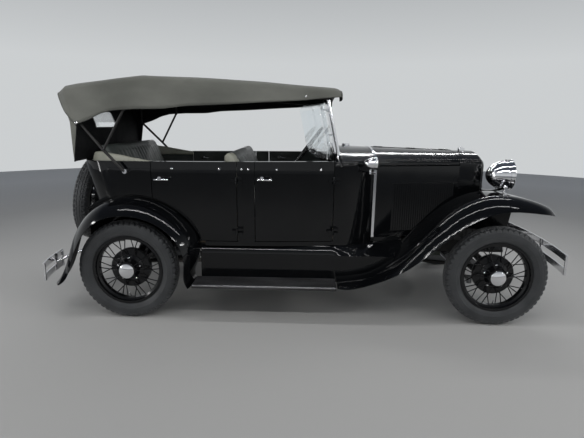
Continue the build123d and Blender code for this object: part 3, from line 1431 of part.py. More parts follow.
def top_irons():
    """The folding irons on both sides and the bows that they carry."""
    pieces = []
    for x, low_z in zip(BOW_XS, (1400.0, 1480.0, 1600.0, 1610.0)):
        pieces.append(top_bow(x, low_z))
    rail = []
    for side in (RIGHT, LEFT):
        base = (IRON_BASE[0], side * IRON_BASE[1], IRON_BASE[2])
        joint = (IRON_JOINT[0], side * IRON_JOINT[1], IRON_JOINT[2])
        back = (IRON_BACK[0], side * IRON_BACK[1], IRON_BACK[2])
        main = (IRON_MAIN[0], side * IRON_MAIN[1], IRON_MAIN[2])
        rail.append(rod(base, joint, 10.0) + rod(joint, back, 10.0) + rod(joint, main, 9.0))
        ball_y = body_half_width(IRON_BASE[0] + IRON_BALL_RADIUS) + BELT_PROUD + SEAT_GAP
        ball_end = (base[0], side * (ball_y + 34), base[2])
        rail.append(rod((base[0], side * ball_y, base[2]), ball_end, IRON_BALL_RADIUS))
        for first, last in zip(BOW_XS[1:], BOW_XS[2:] + (1440.0,)):
            ends = []
            for x in (first, last):
                side_z, _, half = canopy_inner(x)
                ends.append((x, side * (half - LEG_INSET), side_z - 68.0))
            rail.append(rod(ends[0], ends[1], 8.0))
    half = canopy_inner(1440.0)[2]
    header_z = SCREEN_HEAD[1] + 3.0
    header = box(1418.0, 1456.0, 20 - half, half - 20, header_z, header_z + 32.0)
    return fused(pieces + rail + [header])


def cushion(x0, x1, half_y, z0, z1, radius):
    """A plain seat cushion with rounded edges."""
    block = box(x0, x1, -half_y, half_y, z0, z1)
    return fillet(block.edges(), radius)


def seat_back(foot_x, foot_z, head_x, head_z, half_y, thick, radius):
    """A leaning back rest: a rounded slab between its foot and its head."""
    lean = Vector(head_x - foot_x, 0, head_z - foot_z)
    plane = Plane(origin=(foot_x, 0, foot_z), x_dir=(0, 1, 0), z_dir=lean.cross(Vector(0, 1, 0)))
    up = lean.length
    sketch = Pos(0, up / 2 if plane.y_dir.Z > 0 else -up / 2) * RectangleRounded(2 * half_y, up, 60.0)
    slab = extrude(plane * sketch, amount=thick / 2, both=True)
    caps = slab.faces().sort_by(Axis(plane.origin, plane.z_dir))
    return fillet(caps[0].edges() + caps[-1].edges(), radius)


# Bumpers
BAR_HEIGHT = 46.0
BAR_THICK = 9.0
FRONT_BAR_ZS = (428.0, 523.0)
FRONT_BAR_END_X = 3064.0
FRONT_BAR_HALF = 820.0
REAR_BAR_ZS = (310.0, 395.0)
REAR_BAR_END_X = -585.0
REAR_BAR_YS = (430.0, 812.0)


def bowed_bar(start, middle, end, z):
    """A flat spring bar standing on edge, bowed in plan."""
    outer = ThreePointArc(start, middle, end)
    inward = BAR_THICK if middle[0] > 0 else -BAR_THICK
    a = (start[0] - inward, start[1])
    b = (middle[0] - inward, middle[1])
    c = (end[0] - inward, end[1])
    inner = ThreePointArc(c, b, a)
    face = make_face([outer, Line(end, c), inner, Line(a, start)])
    return extrude(Plane.XY.offset(z - BAR_HEIGHT / 2) * face, amount=BAR_HEIGHT)


def front_bumper():
    """Two bowed bars joined at their ends, on the irons that reach forward from the frame."""
    pieces = []
    for z in FRONT_BAR_ZS:
        pieces.append(
            bowed_bar((FRONT_BAR_END_X, -FRONT_BAR_HALF), (FRONT_REACH, 0), (FRONT_BAR_END_X, FRONT_BAR_HALF), z)
        )
    low = FRONT_BAR_ZS[0] - BAR_HEIGHT / 2
    high = FRONT_BAR_ZS[1] + BAR_HEIGHT / 2
    for side in (RIGHT, LEFT):
        end = side * (FRONT_BAR_HALF - 12)
        pieces.append(rod((FRONT_BAR_END_X - 4, end, low + 2), (FRONT_BAR_END_X - 4, end, high - 2), 9.0))
        y = side * (RAIL_FRONT_Y + SEAT_GAP + 5)
        x = FRONT_REACH - 24.0
        pieces.append(rod((x, y, low - 4), (x, y, high + 4), 12.0))
        pieces.append(box(2700.0, x + 6, *sorted((y - 5, y + 5)), 452.0, 500.0))
    return fused(pieces)


def rear_bumpers():
    """The two short double bars behind the rear fenders, on their irons."""
    pieces = []
    inner_y, outer_y = REAR_BAR_YS
    for side in (RIGHT, LEFT):
        bars = []
        for z in REAR_BAR_ZS:
            bars.append(
                bowed_bar(
                    (REAR_BAR_END_X, side * outer_y),
                    (REAR_REACH + 22, side * 0.5 * (inner_y + outer_y)),
                    (REAR_REACH, side * inner_y),
                    z,
                )
            )
        low = REAR_BAR_ZS[0] - BAR_HEIGHT / 2
        high = REAR_BAR_ZS[1] + BAR_HEIGHT / 2
        for x, y in ((REAR_BAR_END_X + 6, outer_y - 10), (REAR_REACH + 10, inner_y + 12)):
            bars.append(rod((x, side * y, low + 2), (x, side * y, high - 2), 8.0))
        mid_y = side * 560.0
        bars.append(box(-640.0, -622.0, *sorted((mid_y - 14, mid_y + 14)), low + 4, high - 4))
        rail_low = RAIL_TOP_Z - RAIL_DEPTH + KICK_RISE
        route = (
            (-630.0, mid_y, 350.0),
            (-520.0, side * 470.0, 400.0),
            (-280.0, side * 377.0, 465.0),
            (-170.0, side * 377.0, 490.0),
            (-170.0, side * 377.0, rail_low - SEAT_GAP),
        )
        for first, last in zip(route, route[1:]):
            bars.append(rod(first, last, 11.0))
        pieces.append(fused(bars))
    return pieces


HEADLAMP_X = 2792.0
HEADLAMP_Y = 392.0
HEADLAMP_Z = 1047.0
HEADLAMP_RADIUS = 114.0
HEADLAMP_DEPTH = 172.0
LAMP_BAR_Y = 548.0
LAMP_BAR_Z = 975.0
LAMP_BAR_SAG = 88.0
LAMP_BAR_RADIUS = 10.0
LAMP_STEM_RADIUS = 9.0
LAMP_FOOT_Z = 932.0


def headlamps():
    """Both headlamps on the bowed bar that joins the fenders across the radiator."""
    lamp = Pos(HEADLAMP_X, HEADLAMP_Y, HEADLAMP_Z) * lamp_bowl(HEADLAMP_RADIUS, HEADLAMP_DEPTH, 24.0)
    bar_x = HEADLAMP_X - 82.0
    ends = [(bar_x, side * LAMP_BAR_Y, LAMP_BAR_Z) for side in (RIGHT, LEFT)]
    pieces = [tube(ends[0], (bar_x, 0, LAMP_BAR_Z - LAMP_BAR_SAG), ends[1], LAMP_BAR_RADIUS)]
    stem_z = LAMP_BAR_Z - LAMP_BAR_SAG * (1 - (HEADLAMP_Y / LAMP_BAR_Y) ** 2)
    for side in (RIGHT, LEFT):
        y = side * HEADLAMP_Y
        pieces.append(lamp if side == LEFT else mirrored(lamp))
        pieces.append(rod((bar_x, y, stem_z), (bar_x, y, HEADLAMP_Z - 80), LAMP_STEM_RADIUS))
        end = (bar_x, side * LAMP_BAR_Y, LAMP_BAR_Z)
        pieces.append(Pos(*end) * Sphere(15.0))
        pieces.append(rod((bar_x, side * LAMP_BAR_Y, LAMP_FOOT_Z), end, 14.0))
    return fused(pieces)


def lens(radius, dome):
    """A domed glass about the x axis, standing on x = 0."""
    arc = [(rise, away) for away, rise in dome_points(radius, dome)]
    profile = [Line((0, 0), (0, radius)), ThreePointArc(*arc), Line((dome, 0), (0, 0))]
    return revolve(make_face(profile), axis=Axis.X)


def lamp_lenses():
    """The glasses of headlamps and cowl lamps."""
    head = Pos(HEADLAMP_X + SEAT_GAP, HEADLAMP_Y, HEADLAMP_Z) * lens(HEADLAMP_RADIUS - 6, 13.0)
    cowl_glass = Pos(COWL_LAMP_X + 40 + SEAT_GAP, COWL_LAMP_Y, COWL_LAMP_Z) * lens(COWL_LAMP_RADIUS - 4, 7.0)
    return both_sides(head) + both_sides(cowl_glass)


def tail_lamps():
    """The round tail lamp on its bracket by the left rear fender."""
    lamp = Rot(0, 0, 180) * lamp_bowl(40.0, 62.0, 10.0)
    lamp = Pos(-520.0, 560.0, 560.0) * lamp
    arm = rod((-480.0, 560.0, 560.0), (-436.0, 610.0, 500.0), 8.0)
    return lamp + arm


SPARE_X = -524.0
SPARE_Z = 768.0
SPARE_LEAN = 7.0


def set_as_spare(shape):
    """A wheel or tyre drawn about the y axis, turned to face backwards and leant on the carrier."""
    turned = Rot(0, 0, 90) * shape
    return Pos(SPARE_X, 0, SPARE_Z) * (Rot(0, SPARE_LEAN, 0) * turned)


def spare_wheel():
    """The spare wheel on its carrier, which rises from the frame's rear crossmember."""
    route = (
        (-168.0, 0, REAR_CROSS_LOW_Z - SEAT_GAP),
        (-168.0, 0, 478.0),
        (-300.0, 0, 478.0),
        (-430.0, 0, 620.0),
        (SPARE_X + 46, 0, SPARE_Z - 40),
    )
    carrier = [rod(first, last, 22.0) for first, last in zip(route, route[1:])]
    return fused([set_as_spare(wire_wheel(False))] + carrier)


def levers_and_pedals():
    """Gear lever, handbrake and the three pedals, standing on floor and toe board."""
    floor_z = FLOOR_Z + SEAT_GAP
    gear = rod((1505.0, 0, floor_z), (1505.0, 0, 580.0), 32.0) + rod((1505.0, 0, 570.0), (1400.0, 0, 860.0), 8.0)
    gear = gear + Pos(1398.0, 0, 868.0) * Sphere(19.0)
    brake = rod((1500.0, 120.0, floor_z), (1500.0, 120.0, 570.0), 16.0)
    brake = brake + rod((1500.0, 120.0, 560.0), (1440.0, 120.0, 800.0), 9.0)
    pieces = [gear, brake]
    for y in (250.0, 330.0, 410.0):
        pedal = Pos(1615, y, 716) * (Rot(0, -40, 0) * Box(12, 52, 62))
        pieces.append(pedal + rod((1618.0, y, 712.0), (1668.0, y, 646.4), 7.0))
    return pieces


def write_part(name, shape):
    """Move a piece to the car's own origin and write it as one STEP file."""
    solids = []
    items = shape if isinstance(shape, list) else [shape]
    for item in items:
        solids.extend(item.solids())
    middle = (FRONT_REACH + REAR_REACH) / 2
    moved = [Pos(-middle, 0, 0) * solid for solid in solids]
    whole = moved[0] if len(moved) == 1 else Compound(children=moved)
    export_step(whole, f"parts/{name}.step")


def doors_and_body():
    """The panels that are cut from the body's skin."""
    skin = body_skin()
    parts = {"body_tub": body_tub(skin), "body_sides": [body_side(skin, RIGHT), body_side(skin, LEFT)]}
    for side, word in ((RIGHT, "right"), (LEFT, "left")):
        front = [front_door(skin, side), door_handle(962.0, 1024.0, side)]
        front += hinge_leaves(FRONT_DOOR_FRONT_X, side, True)
        rear = [rear_door(skin, side), door_handle(231.0, 1014.0, side)]
        rear += hinge_leaves(REAR_DOOR_FRONT_X, side, True)
        parts[f"door_front_{word}"] = fused(front)
        parts[f"door_rear_{word}"] = fused(rear)
    return parts


def hood_panels():
    """The four panels of the hood."""
    skin = hood_skin()
    side = hood_side(skin)
    return {
        "hood_top_right": hood_top(skin, 0.0),
        "hood_top_left": mirrored(hood_top(skin, HOOD_KNUCKLE_LENGTH + HOOD_GAP)),
        "hood_side_right": side,
        "hood_side_left": mirrored(side),
    }


def wheels():
    """Four road wheels with their tyres, and the spare."""
    road = wire_wheel(True)
    rubber = tyre()
    parts = {}
    for x, end in ((WHEELBASE, "front"), (0.0, "rear")):
        for side, word in ((RIGHT, "right"), (LEFT, "left")):
            parts[f"tyre_{end}_{word}"] = placed_wheel(rubber, x, side)
            parts[f"wheel_{end}_{word}"] = placed_wheel(road, x, side)
    parts["spare_tyre"] = set_as_spare(rubber)
    parts["spare_wheel"] = spare_wheel()
    return parts


def seats():
    """Cushions and back rests of both benches."""
    return {
        "front_seat_cushion": cushion(800.0, 1235.0, 560.0, SEAT_BASE_Z, 835.0, 30.0),
        "front_seat_back": seat_back(842.0, 842.2, 700.0, 1205.0, 575.0, 125.0, 28.0),
        "rear_seat_cushion": cushion(-80.0, 440.0, 540.0, REAR_FLOOR_Z + SEAT_GAP, 860.0, 30.0),
        "rear_seat_back": seat_back(-64.8, 856.8, -215.0, 1240.0, 545.0, 130.0, 30.0),
    }


def main():
    """Build every piece and write it."""
    os.makedirs("parts", exist_ok=True)
    parts = {
        "chassis_frame": chassis_frame(),
        "front_axle": front_axle(),
        "rear_axle": rear_axle(),
        "engine_block": engine_block(),
        "exhaust": exhaust(),
        "radiator_core": radiator_core(),
        "radiator_shell": radiator_shell(),
        "cowl": cowl(),
        "cowl_band": cowl_band(),
        "floor": floor(),
        "front_fenders": both_sides(front_fender()),
        "rear_fenders": both_sides(rear_fender()),
        "running_boards": both_sides(running_board()),
        "splash_aprons": both_sides(splash_apron(front_fender())) + both_sides(valance()),
        "windshield_frame": windshield_frame(),
        "windshield_glass": windshield_glass(),
        "wind_wings": both_sides(wind_wing()),
        "top_canopy": top_canopy(),
        "top_irons": top_irons(),
        "rear_window": rear_window(),
        "steering_column": steering_column(),
        "steering_wheel": steering_wheel(),
        "levers_and_pedals": levers_and_pedals(),
        "knuckle_right": knuckle(),
        "knuckle_left": knuckle_left(),
        "tie_rod": tie_rod(),
        "drag_link": drag_link(),
        "pitman_arm": pitman_arm(),
        "front_bumper": front_bumper(),
        "rear_bumpers": rear_bumpers(),
        "headlamps": headlamps(),
        "lamp_lenses": lamp_lenses(),
        "tail_lamps": tail_lamps(),
    }
    parts.update(doors_and_body())
    parts.update(hood_panels())
    parts.update(wheels())
    parts.update(seats())
    for name, shape in parts.items():
        write_part(name, shape)


if __name__ == "__main__":
    main()
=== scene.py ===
import math

import bpy
from mathutils import Matrix, Vector, noise


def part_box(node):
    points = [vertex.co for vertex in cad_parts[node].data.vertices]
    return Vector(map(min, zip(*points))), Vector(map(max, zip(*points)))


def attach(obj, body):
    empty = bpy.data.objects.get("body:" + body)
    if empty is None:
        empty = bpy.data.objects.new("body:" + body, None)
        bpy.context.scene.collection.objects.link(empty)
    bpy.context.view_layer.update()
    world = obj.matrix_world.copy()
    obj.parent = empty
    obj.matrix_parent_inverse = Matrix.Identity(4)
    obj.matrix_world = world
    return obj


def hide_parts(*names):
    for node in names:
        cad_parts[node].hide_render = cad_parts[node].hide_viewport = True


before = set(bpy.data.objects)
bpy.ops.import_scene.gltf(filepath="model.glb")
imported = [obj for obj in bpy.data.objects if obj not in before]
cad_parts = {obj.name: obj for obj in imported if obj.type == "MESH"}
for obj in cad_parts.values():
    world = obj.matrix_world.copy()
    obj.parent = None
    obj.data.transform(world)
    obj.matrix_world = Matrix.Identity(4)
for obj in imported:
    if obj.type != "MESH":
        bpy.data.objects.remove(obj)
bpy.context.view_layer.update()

# Sizes are in mm from the rear axle, x forward, y to the car's left and z up; place() sets them in the frame
AXLE_BACK = 1250.0
WHEELBASE = 2629.0
TRACK = 1422.0
TYRE_RADIUS = 361.0
RIGHT = -1
LEFT = 1
SIDES = (("right", RIGHT), ("left", LEFT))


def place(x, y, z):
    """A point drawn in mm from the rear axle, in the frame in metres."""
    return Vector(((x - AXLE_BACK) / 1000, y / 1000, z / 1000))


def body_half(x):
    """Half width of the body's bowed sides at a station."""
    return 668.0 - 6600.0 + math.sqrt(6600.0**2 - (x - 650.0) ** 2)


def between(table, x):
    """Values of a table of rows that start with x, read off in between its rows."""
    if x <= table[0][0]:
        return table[0][1:]
    for first, last in zip(table, table[1:]):
        if x <= last[0]:
            share = (x - first[0]) / (last[0] - first[0])
            return tuple(a + share * (b - a) for a, b in zip(first[1:], last[1:]))
    return table[-1][1:]


def smooth_step(low, high, value):
    share = min(1.0, max(0.0, (value - low) / (high - low)))
    return share * share * (3 - 2 * share)


def new_object(name, data):
    """An object for a mesh, a lamp or a camera, put in the scene."""
    made = bpy.data.objects.new(name, data)
    bpy.context.scene.collection.objects.link(made)
    return made


# Materials
def new_material(name, color, roughness, metallic=0.0):
    """A material with its shader's own colour and roughness, and the node tree to build on."""
    made = bpy.data.materials.new(name)
    made.use_nodes = True
    shader = shader_of(made)
    shader.inputs["Base Color"].default_value = (*color, 1.0)
    shader.inputs["Roughness"].default_value = roughness
    shader.inputs["Metallic"].default_value = metallic
    return made


def add_node(made, kind, **settings):
    node = made.node_tree.nodes.new(kind)
    for name, value in settings.items():
        if name in node.inputs:
            node.inputs[name].default_value = value
        else:
            setattr(node, name, value)
    return node


def shader_of(made):
    return made.node_tree.nodes["Principled BSDF"]


def link(made, start, end):
    made.node_tree.links.new(start, end)


def object_place(made, stretch=(1.0, 1.0, 1.0)):
    """The surface's own place in metres, stretched per axis."""
    source = add_node(made, "ShaderNodeTexCoord")
    mapping = add_node(made, "ShaderNodeMapping")
    mapping.inputs["Scale"].default_value = stretch
    link(made, source.outputs["Object"], mapping.inputs["Vector"])
    return mapping.outputs["Vector"]


def noise_value(made, scale, detail=4.0, stretch=(1.0, 1.0, 1.0)):
    """A soft random pattern, scale in features per metre."""
    texture = add_node(made, "ShaderNodeTexNoise", Scale=scale, Detail=detail)
    link(made, object_place(made, stretch), texture.inputs["Vector"])
    return texture.outputs["Fac"]


def colour_between(made, value, dark, light, low=0.3, high=0.7):
    """The base colour runs from dark to light with a pattern's value."""
    ramp = add_node(made, "ShaderNodeValToRGB")
    ramp.color_ramp.elements[0].position = low
    ramp.color_ramp.elements[0].color = (*dark, 1.0)
    ramp.color_ramp.elements[1].position = high
    ramp.color_ramp.elements[1].color = (*light, 1.0)
    link(made, value, ramp.inputs["Fac"])
    link(made, ramp.outputs["Color"], shader_of(made).inputs["Base Color"])


def roughness_between(made, value, low, high):
    """Roughness runs between two values with a pattern's value."""
    scaled = add_node(made, "ShaderNodeMapRange")
    scaled.inputs["To Min"].default_value = low
    scaled.inputs["To Max"].default_value = high
    link(made, value, scaled.inputs["Value"])
    link(made, scaled.outputs["Result"], shader_of(made).inputs["Roughness"])


def relief(made, value, depth, strength=1.0):
    """A fine relief from a pattern's value, depth in metres."""
    bump = add_node(made, "ShaderNodeBump", Strength=strength, Distance=depth)
    link(made, value, bump.inputs["Height"])
    link(made, bump.outputs["Normal"], shader_of(made).inputs["Normal"])


def enamel(name, dark, light, gloss):
    """Polished enamel: a deep colour with faint waviness, thin haze in patches and fine dust."""
    made = new_material(name, dark, gloss)
    shader_of(made).inputs["Specular IOR Level"].default_value = 0.36
    colour_between(made, noise_value(made, 5.0, 6.0), dark, light, 0.4, 0.8)
    roughness_between(made, noise_value(made, 9.0), gloss, gloss + 0.07)
    relief(made, noise_value(made, 9.0, 2.0), 0.0008, 0.16)
    return made


def satin_paint():
    """Chassis paint: half gloss, with brush marks and road dust lighter in places."""
    made = new_material("frame_paint", (0.012, 0.012, 0.013), 0.42)
    shader_of(made).inputs["Specular IOR Level"].default_value = 0.35
    colour_between(made, noise_value(made, 11.0), (0.007, 0.007, 0.008), (0.022, 0.021, 0.02))
    roughness_between(made, noise_value(made, 30.0), 0.32, 0.6)
    relief(made, noise_value(made, 160.0), 0.0004, 0.3)
    return made


def plating():
    """Bright plating with faint smears."""
    made = new_material("chrome", (0.8, 0.8, 0.82), 0.07, 1.0)
    roughness_between(made, noise_value(made, 24.0), 0.03, 0.14)
    relief(made, noise_value(made, 40.0, 2.0), 0.0001, 0.04)
    return made


def drawn_steel(name, color, low, high):
    """Plain steel with drawing marks and patches of old oil."""
    made = new_material(name, color, 0.4, 1.0)
    darker = tuple(0.6 * c for c in color)
    colour_between(made, noise_value(made, 16.0), darker, color)
    roughness_between(made, noise_value(made, 60.0, 6.0, (0.2, 1.0, 1.0)), low, high)
    relief(made, noise_value(made, 420.0, 2.0, (0.1, 1.0, 1.0)), 0.0002, 0.3)
    return made


def castings():
    """Grey-green painted castings with a sandy skin."""
    made = new_material("engine_iron", (0.12, 0.14, 0.12), 0.6)
    colour_between(made, noise_value(made, 12.0), (0.07, 0.085, 0.07), (0.14, 0.165, 0.14))
    relief(made, noise_value(made, 500.0, 3.0), 0.0006, 0.5)
    return made


def core_metal():
    """Dark tubes and fins of the radiator, brassy where the paint has gone."""
    made = new_material("radiator_metal", (0.05, 0.05, 0.05), 0.45, 0.7)
    colour_between(made, noise_value(made, 18.0), (0.03, 0.03, 0.032), (0.11, 0.095, 0.07), 0.45, 0.85)
    relief(made, noise_value(made, 300.0), 0.0003, 0.3)
    return made


def tyre_rubber():
    """Black rubber with a grey bloom and fine mould texture."""
    made = new_material("tyre_rubber", (0.026, 0.028, 0.03), 0.5)
    shader_of(made).inputs["Sheen Weight"].default_value = 0.18
    colour_between(made, noise_value(made, 8.0), (0.019, 0.021, 0.023), (0.04, 0.042, 0.045))
    roughness_between(made, noise_value(made, 26.0), 0.38, 0.58)
    relief(made, noise_value(made, 700.0, 3.0), 0.0003, 0.4)
    return made


def mat_rubber():
    """The running boards' rubber, worn greyer in long patches."""
    made = new_material("mat_rubber", (0.03, 0.03, 0.032), 0.5)
    worn = noise_value(made, 10.0, 4.0, (0.3, 1.0, 1.0))
    colour_between(made, worn, (0.014, 0.014, 0.015), (0.045, 0.045, 0.047))
    roughness_between(made, noise_value(made, 30.0), 0.35, 0.6)
    relief(made, noise_value(made, 600.0), 0.0003, 0.35)
    return made


def woven(made, pitch, depth, strength):
    """A plain weave's relief, from bands of thread along the three axes."""
    bands = []
    for direction in ("X", "Y", "Z"):
        wave = add_node(made, "ShaderNodeTexWave", wave_type="BANDS", bands_direction=direction)
        wave.inputs["Scale"].default_value = 1.0 / pitch / 3.14
        wave.inputs["Distortion"].default_value = 0.4
        link(made, object_place(made), wave.inputs["Vector"])
        bands.append(wave.outputs["Fac"])
    first = add_node(made, "ShaderNodeMath", operation="MAXIMUM")
    link(made, bands[0], first.inputs[0])
    link(made, bands[1], first.inputs[1])
    both = add_node(made, "ShaderNodeMath", operation="MULTIPLY")
    link(made, first.outputs["Value"], both.inputs[0])
    link(made, bands[2], both.inputs[1])
    relief(made, both.outputs["Value"], depth, strength)


def canvas_cloth(name, dark, light, sheen):
    """Woven top cloth: weave, soft fading in patches and a little sheen."""
    made = new_material(name, light, 0.85)
    shader = shader_of(made)
    shader.inputs["Sheen Weight"].default_value = sheen
    shader.inputs["Sheen Roughness"].default_value = 0.5
    shader.inputs["Specular IOR Level"].default_value = 0.3
    fade = noise_value(made, 3.2, 6.0, (0.6, 1.0, 1.2))
    colour_between(made, fade, dark, light, 0.32, 0.68)
    roughness_between(made, noise_value(made, 40.0), 0.75, 0.95)
    woven(made, 0.0022, 0.0006, 0.55)
    return made


def hide(name, dark, light):
    """Seat hide: fine pebbled grain, creases, and a polish where it is sat on."""
    made = new_material(name, light, 0.45)
    colour_between(made, noise_value(made, 7.0), dark, light)
    roughness_between(made, noise_value(made, 12.0), 0.34, 0.6)
    grain = add_node(made, "ShaderNodeTexVoronoi", Scale=520.0)
    link(made, object_place(made), grain.inputs["Vector"])
    relief(made, grain.outputs["Distance"], 0.0005, 0.45)
    return made


def oiled_wood():
    """Floor boards with long grain."""
    made = new_material("floor_wood", (0.16, 0.12, 0.08), 0.6)
    grain = noise_value(made, 60.0, 6.0, (0.06, 1.0, 1.0))
    colour_between(made, grain, (0.07, 0.05, 0.034), (0.2, 0.15, 0.1))
    relief(made, grain, 0.0005, 0.4)
    return made


def clear_glass(name, tint, rough):
    """Plate glass that lets light through, lightly tinted, a little hazy in smears."""
    made = new_material(name, tint, rough)
    shader = shader_of(made)
    shader.inputs["Transmission Weight"].default_value = 1.0
    shader.inputs["IOR"].default_value = 1.45
    shader.inputs["Alpha"].default_value = 0.45
    roughness_between(made, noise_value(made, 6.0), rough, rough + 0.03)
    return made


def fluted_glass():
    """Lamp glass with upright flutes."""
    made = clear_glass("lamp_glass", (0.92, 0.95, 0.95), 0.02)
    wave = add_node(made, "ShaderNodeTexWave", wave_type="BANDS", bands_direction="Y", Scale=36.0)
    link(made, object_place(made), wave.inputs["Vector"])
    relief(made, wave.outputs["Fac"], 0.0015, 0.6)
    return made


def moulded_black():
    """The steering wheel's hard rim."""
    made = new_material("wheel_rim_plastic", (0.02, 0.02, 0.02), 0.25)
    roughness_between(made, noise_value(made, 30.0), 0.16, 0.36)
    relief(made, noise_value(made, 90.0), 0.0002, 0.2)
    return made


def pale_dial():
    """Cream dial faces behind the dash glasses."""
    made = new_material("dial_face", (0.62, 0.6, 0.52), 0.5)
    colour_between(made, noise_value(made, 60.0), (0.52, 0.5, 0.42), (0.66, 0.64, 0.56))
    return made


def red_glass():
    """Ruby glass of the tail lamp."""
    made = new_material("ruby_glass", (0.35, 0.01, 0.01), 0.12)
    shader_of(made).inputs["Coat Weight"].default_value = 1.0
    colour_between(made, noise_value(made, 90.0), (0.22, 0.006, 0.006), (0.42, 0.014, 0.012))
    return made


MATERIALS = {
    "body_paint": enamel("body_paint", (0.0025, 0.0028, 0.0034), (0.0042, 0.0045, 0.005), 0.05),
    "frame_paint": satin_paint(),
    "wheel_paint": enamel("wheel_paint", (0.004, 0.0042, 0.005), (0.008, 0.008, 0.009), 0.1),
    "chrome": plating(),
    "steel": drawn_steel("steel", (0.4, 0.4, 0.41), 0.25, 0.5),
    "engine_iron": castings(),
    "radiator_metal": core_metal(),
    "exhaust_metal": drawn_steel("exhaust_metal", (0.24, 0.22, 0.21), 0.4, 0.7),
    "tyre_rubber": tyre_rubber(),
    "mat_rubber": mat_rubber(),
    "canvas": canvas_cloth("canvas", (0.105, 0.107, 0.094), (0.178, 0.18, 0.16), 0.2),
    # Bindings and seams: the same canvas painted darker, as painted shade that keeps their lit tops from
    # standing out
    "canvas_seam_painted_shade": canvas_cloth("canvas_seam_painted_shade", (0.055, 0.056, 0.05), (0.09, 0.091, 0.082), 0.1),
    "lining": canvas_cloth("lining", (0.003, 0.0033, 0.004), (0.006, 0.0065, 0.008), 0.02),
    "seat_leather": hide("seat_leather", (0.035, 0.042, 0.039), (0.066, 0.076, 0.07)),
    "pale_hide": hide("pale_hide", (0.33, 0.33, 0.27), (0.45, 0.45, 0.38)),
    "floor_wood": oiled_wood(),
    "pane": clear_glass("pane", (0.9, 0.955, 0.985), 0.0),
    "lamp_glass": fluted_glass(),
    "wheel_rim_plastic": moulded_black(),
    "dial_face": pale_dial(),
    "ruby_glass": red_glass(),
}


# Finishes of the CAD nodes
PANES = ("windshield_glass", "wind_wings", "rear_window")
NODES_BY_FINISH = {
    "frame_paint": ("chassis_frame", "front_axle", "rear_axle", "top_irons", "steering_column"),
    "engine_iron": ("engine_block",),
    "exhaust_metal": ("exhaust",),
    "radiator_metal": ("radiator_core",),
    "chrome": ("cowl_band", "windshield_frame", "front_bumper", "rear_bumpers", "headlamps", "tail_lamps"),
    "floor_wood": ("floor",),
    "mat_rubber": ("running_boards",),
    "pane": PANES,
    "wheel_rim_plastic": ("steering_wheel",),
    "steel": ("levers_and_pedals", "knuckle_right", "knuckle_left", "tie_rod", "drag_link", "pitman_arm"),
    "lamp_glass": ("lamp_lenses",),
    "canvas": ("top_canopy",),
}
FINISH_BY_WORD = (("tyre", "tyre_rubber"), ("wheel", "wheel_paint"), ("seat", "seat_leather"))


def finish_of(name):
    """A CAD node's finish, by its name or by a word in it."""
    for finish, nodes in NODES_BY_FINISH.items():
        if name in nodes:
            return finish
    for word, finish in FINISH_BY_WORD:
        if word in name:
            return finish
    return "body_paint"


def finish_node(name, node):
    """Gives a CAD node its one finish."""
    node.data.materials.clear()
    node.data.materials.append(MATERIALS[finish_of(name)])


def finish_faces(node, material, chosen):
    """Gives the faces whose centre is chosen another finish."""
    node.data.materials.append(MATERIALS[material])
    index = len(node.data.materials) - 1
    for face in node.data.polygons:
        centre = face.center * 1000
        if chosen(centre.x + AXLE_BACK, centre.y, centre.z):
            face.material_index = index


WELD_REACH = 0.00002
EDGE_WIDTH = 0.0012
EDGE_ANGLE = 32.0


def soften_edges(node):
    """Smooth shading, a fine bevel that catches the light, and normals that follow the large faces."""
    weld = node.modifiers.new("weld", "WELD")
    weld.merge_threshold = WELD_REACH
    for face in node.data.polygons:
        face.use_smooth = True
    bevel = node.modifiers.new("soft_edges", "BEVEL")
    bevel.width = EDGE_WIDTH
    bevel.segments = 2
    bevel.limit_method = "ANGLE"
    bevel.angle_limit = math.radians(EDGE_ANGLE)
    even = node.modifiers.new("even_normals", "WEIGHTED_NORMAL")
    even.mode = "FACE_AREA"
    even.weight = 50
    even.keep_sharp = True


WALL = 40.0
HANDLE_STAND = 5.5
HANDLE_LOW_Z = 985.0
HANDLE_HIGH_Z = 1045.0
HANDLE_FRONT_X = 1420.0
HINGE_BACK_X = 740.0
HINGE_FRONT_X = 800.0


def is_handle(x, y, z):
    """Faces of the bar handles, clear of the hinges."""
    stands_out = abs(y) > body_half(x) + HANDLE_STAND
    on_hinge = HINGE_BACK_X < x < HINGE_FRONT_X
    return stands_out and HANDLE_LOW_Z < z < HANDLE_HIGH_Z and x < HANDLE_FRONT_X and not on_hinge


TRIM_LOW_Z = 575.0
TRIM_REACH = 16.0


def trim_inner_walls(node):
    """Hide on the inward faces of the body's sides."""
    node.data.materials.append(MATERIALS["seat_leather"])
    index = len(node.data.materials) - 1
    for face in node.data.polygons:
        centre = face.center * 1000
        inward = face.normal.y * centre.y < -0.5 * abs(centre.y)
        off_wall = abs(centre.y) - body_half(centre.x + AXLE_BACK) + WALL
        if inward and centre.z > TRIM_LOW_Z and abs(off_wall) < TRIM_REACH:
            face.material_index = index


for name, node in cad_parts.items():
    finish_node(name, node)
    if name not in PANES:
        soften_edges(node)

HUB_CAP_OUT = 61.0
HUB_CAP_REACH = 54.0
RADIATOR_CAP_LOW_Z = 1208.0
RADIATOR_CAP_BACK_X = 2515.0
RADIATOR_CAP_FRONT_X = 2590.0
FUEL_CAP_X = 1600.0
FUEL_CAP_LOW_Z = 1236.0
FUEL_CAP_REACH = 34.0
SCREEN_FOOT_Z = 1166.0
RUBY_X = -516.0
IRON_BALL_X = -11.0
IRON_BALL_Z = 1062.0
IRON_BALL_REACH = 18.0
IRON_BALL_OUT = 700.0


def is_radiator_cap(x, y, z):
    return z > RADIATOR_CAP_LOW_Z and RADIATOR_CAP_BACK_X < x < RADIATOR_CAP_FRONT_X


def is_fuel_cap(x, y, z):
    return z > FUEL_CAP_LOW_Z and math.hypot(x - FUEL_CAP_X, y) < FUEL_CAP_REACH


def is_iron_ball(x, y, z):
    return math.hypot(x - IRON_BALL_X, z - IRON_BALL_Z) < IRON_BALL_REACH and abs(y) < IRON_BALL_OUT


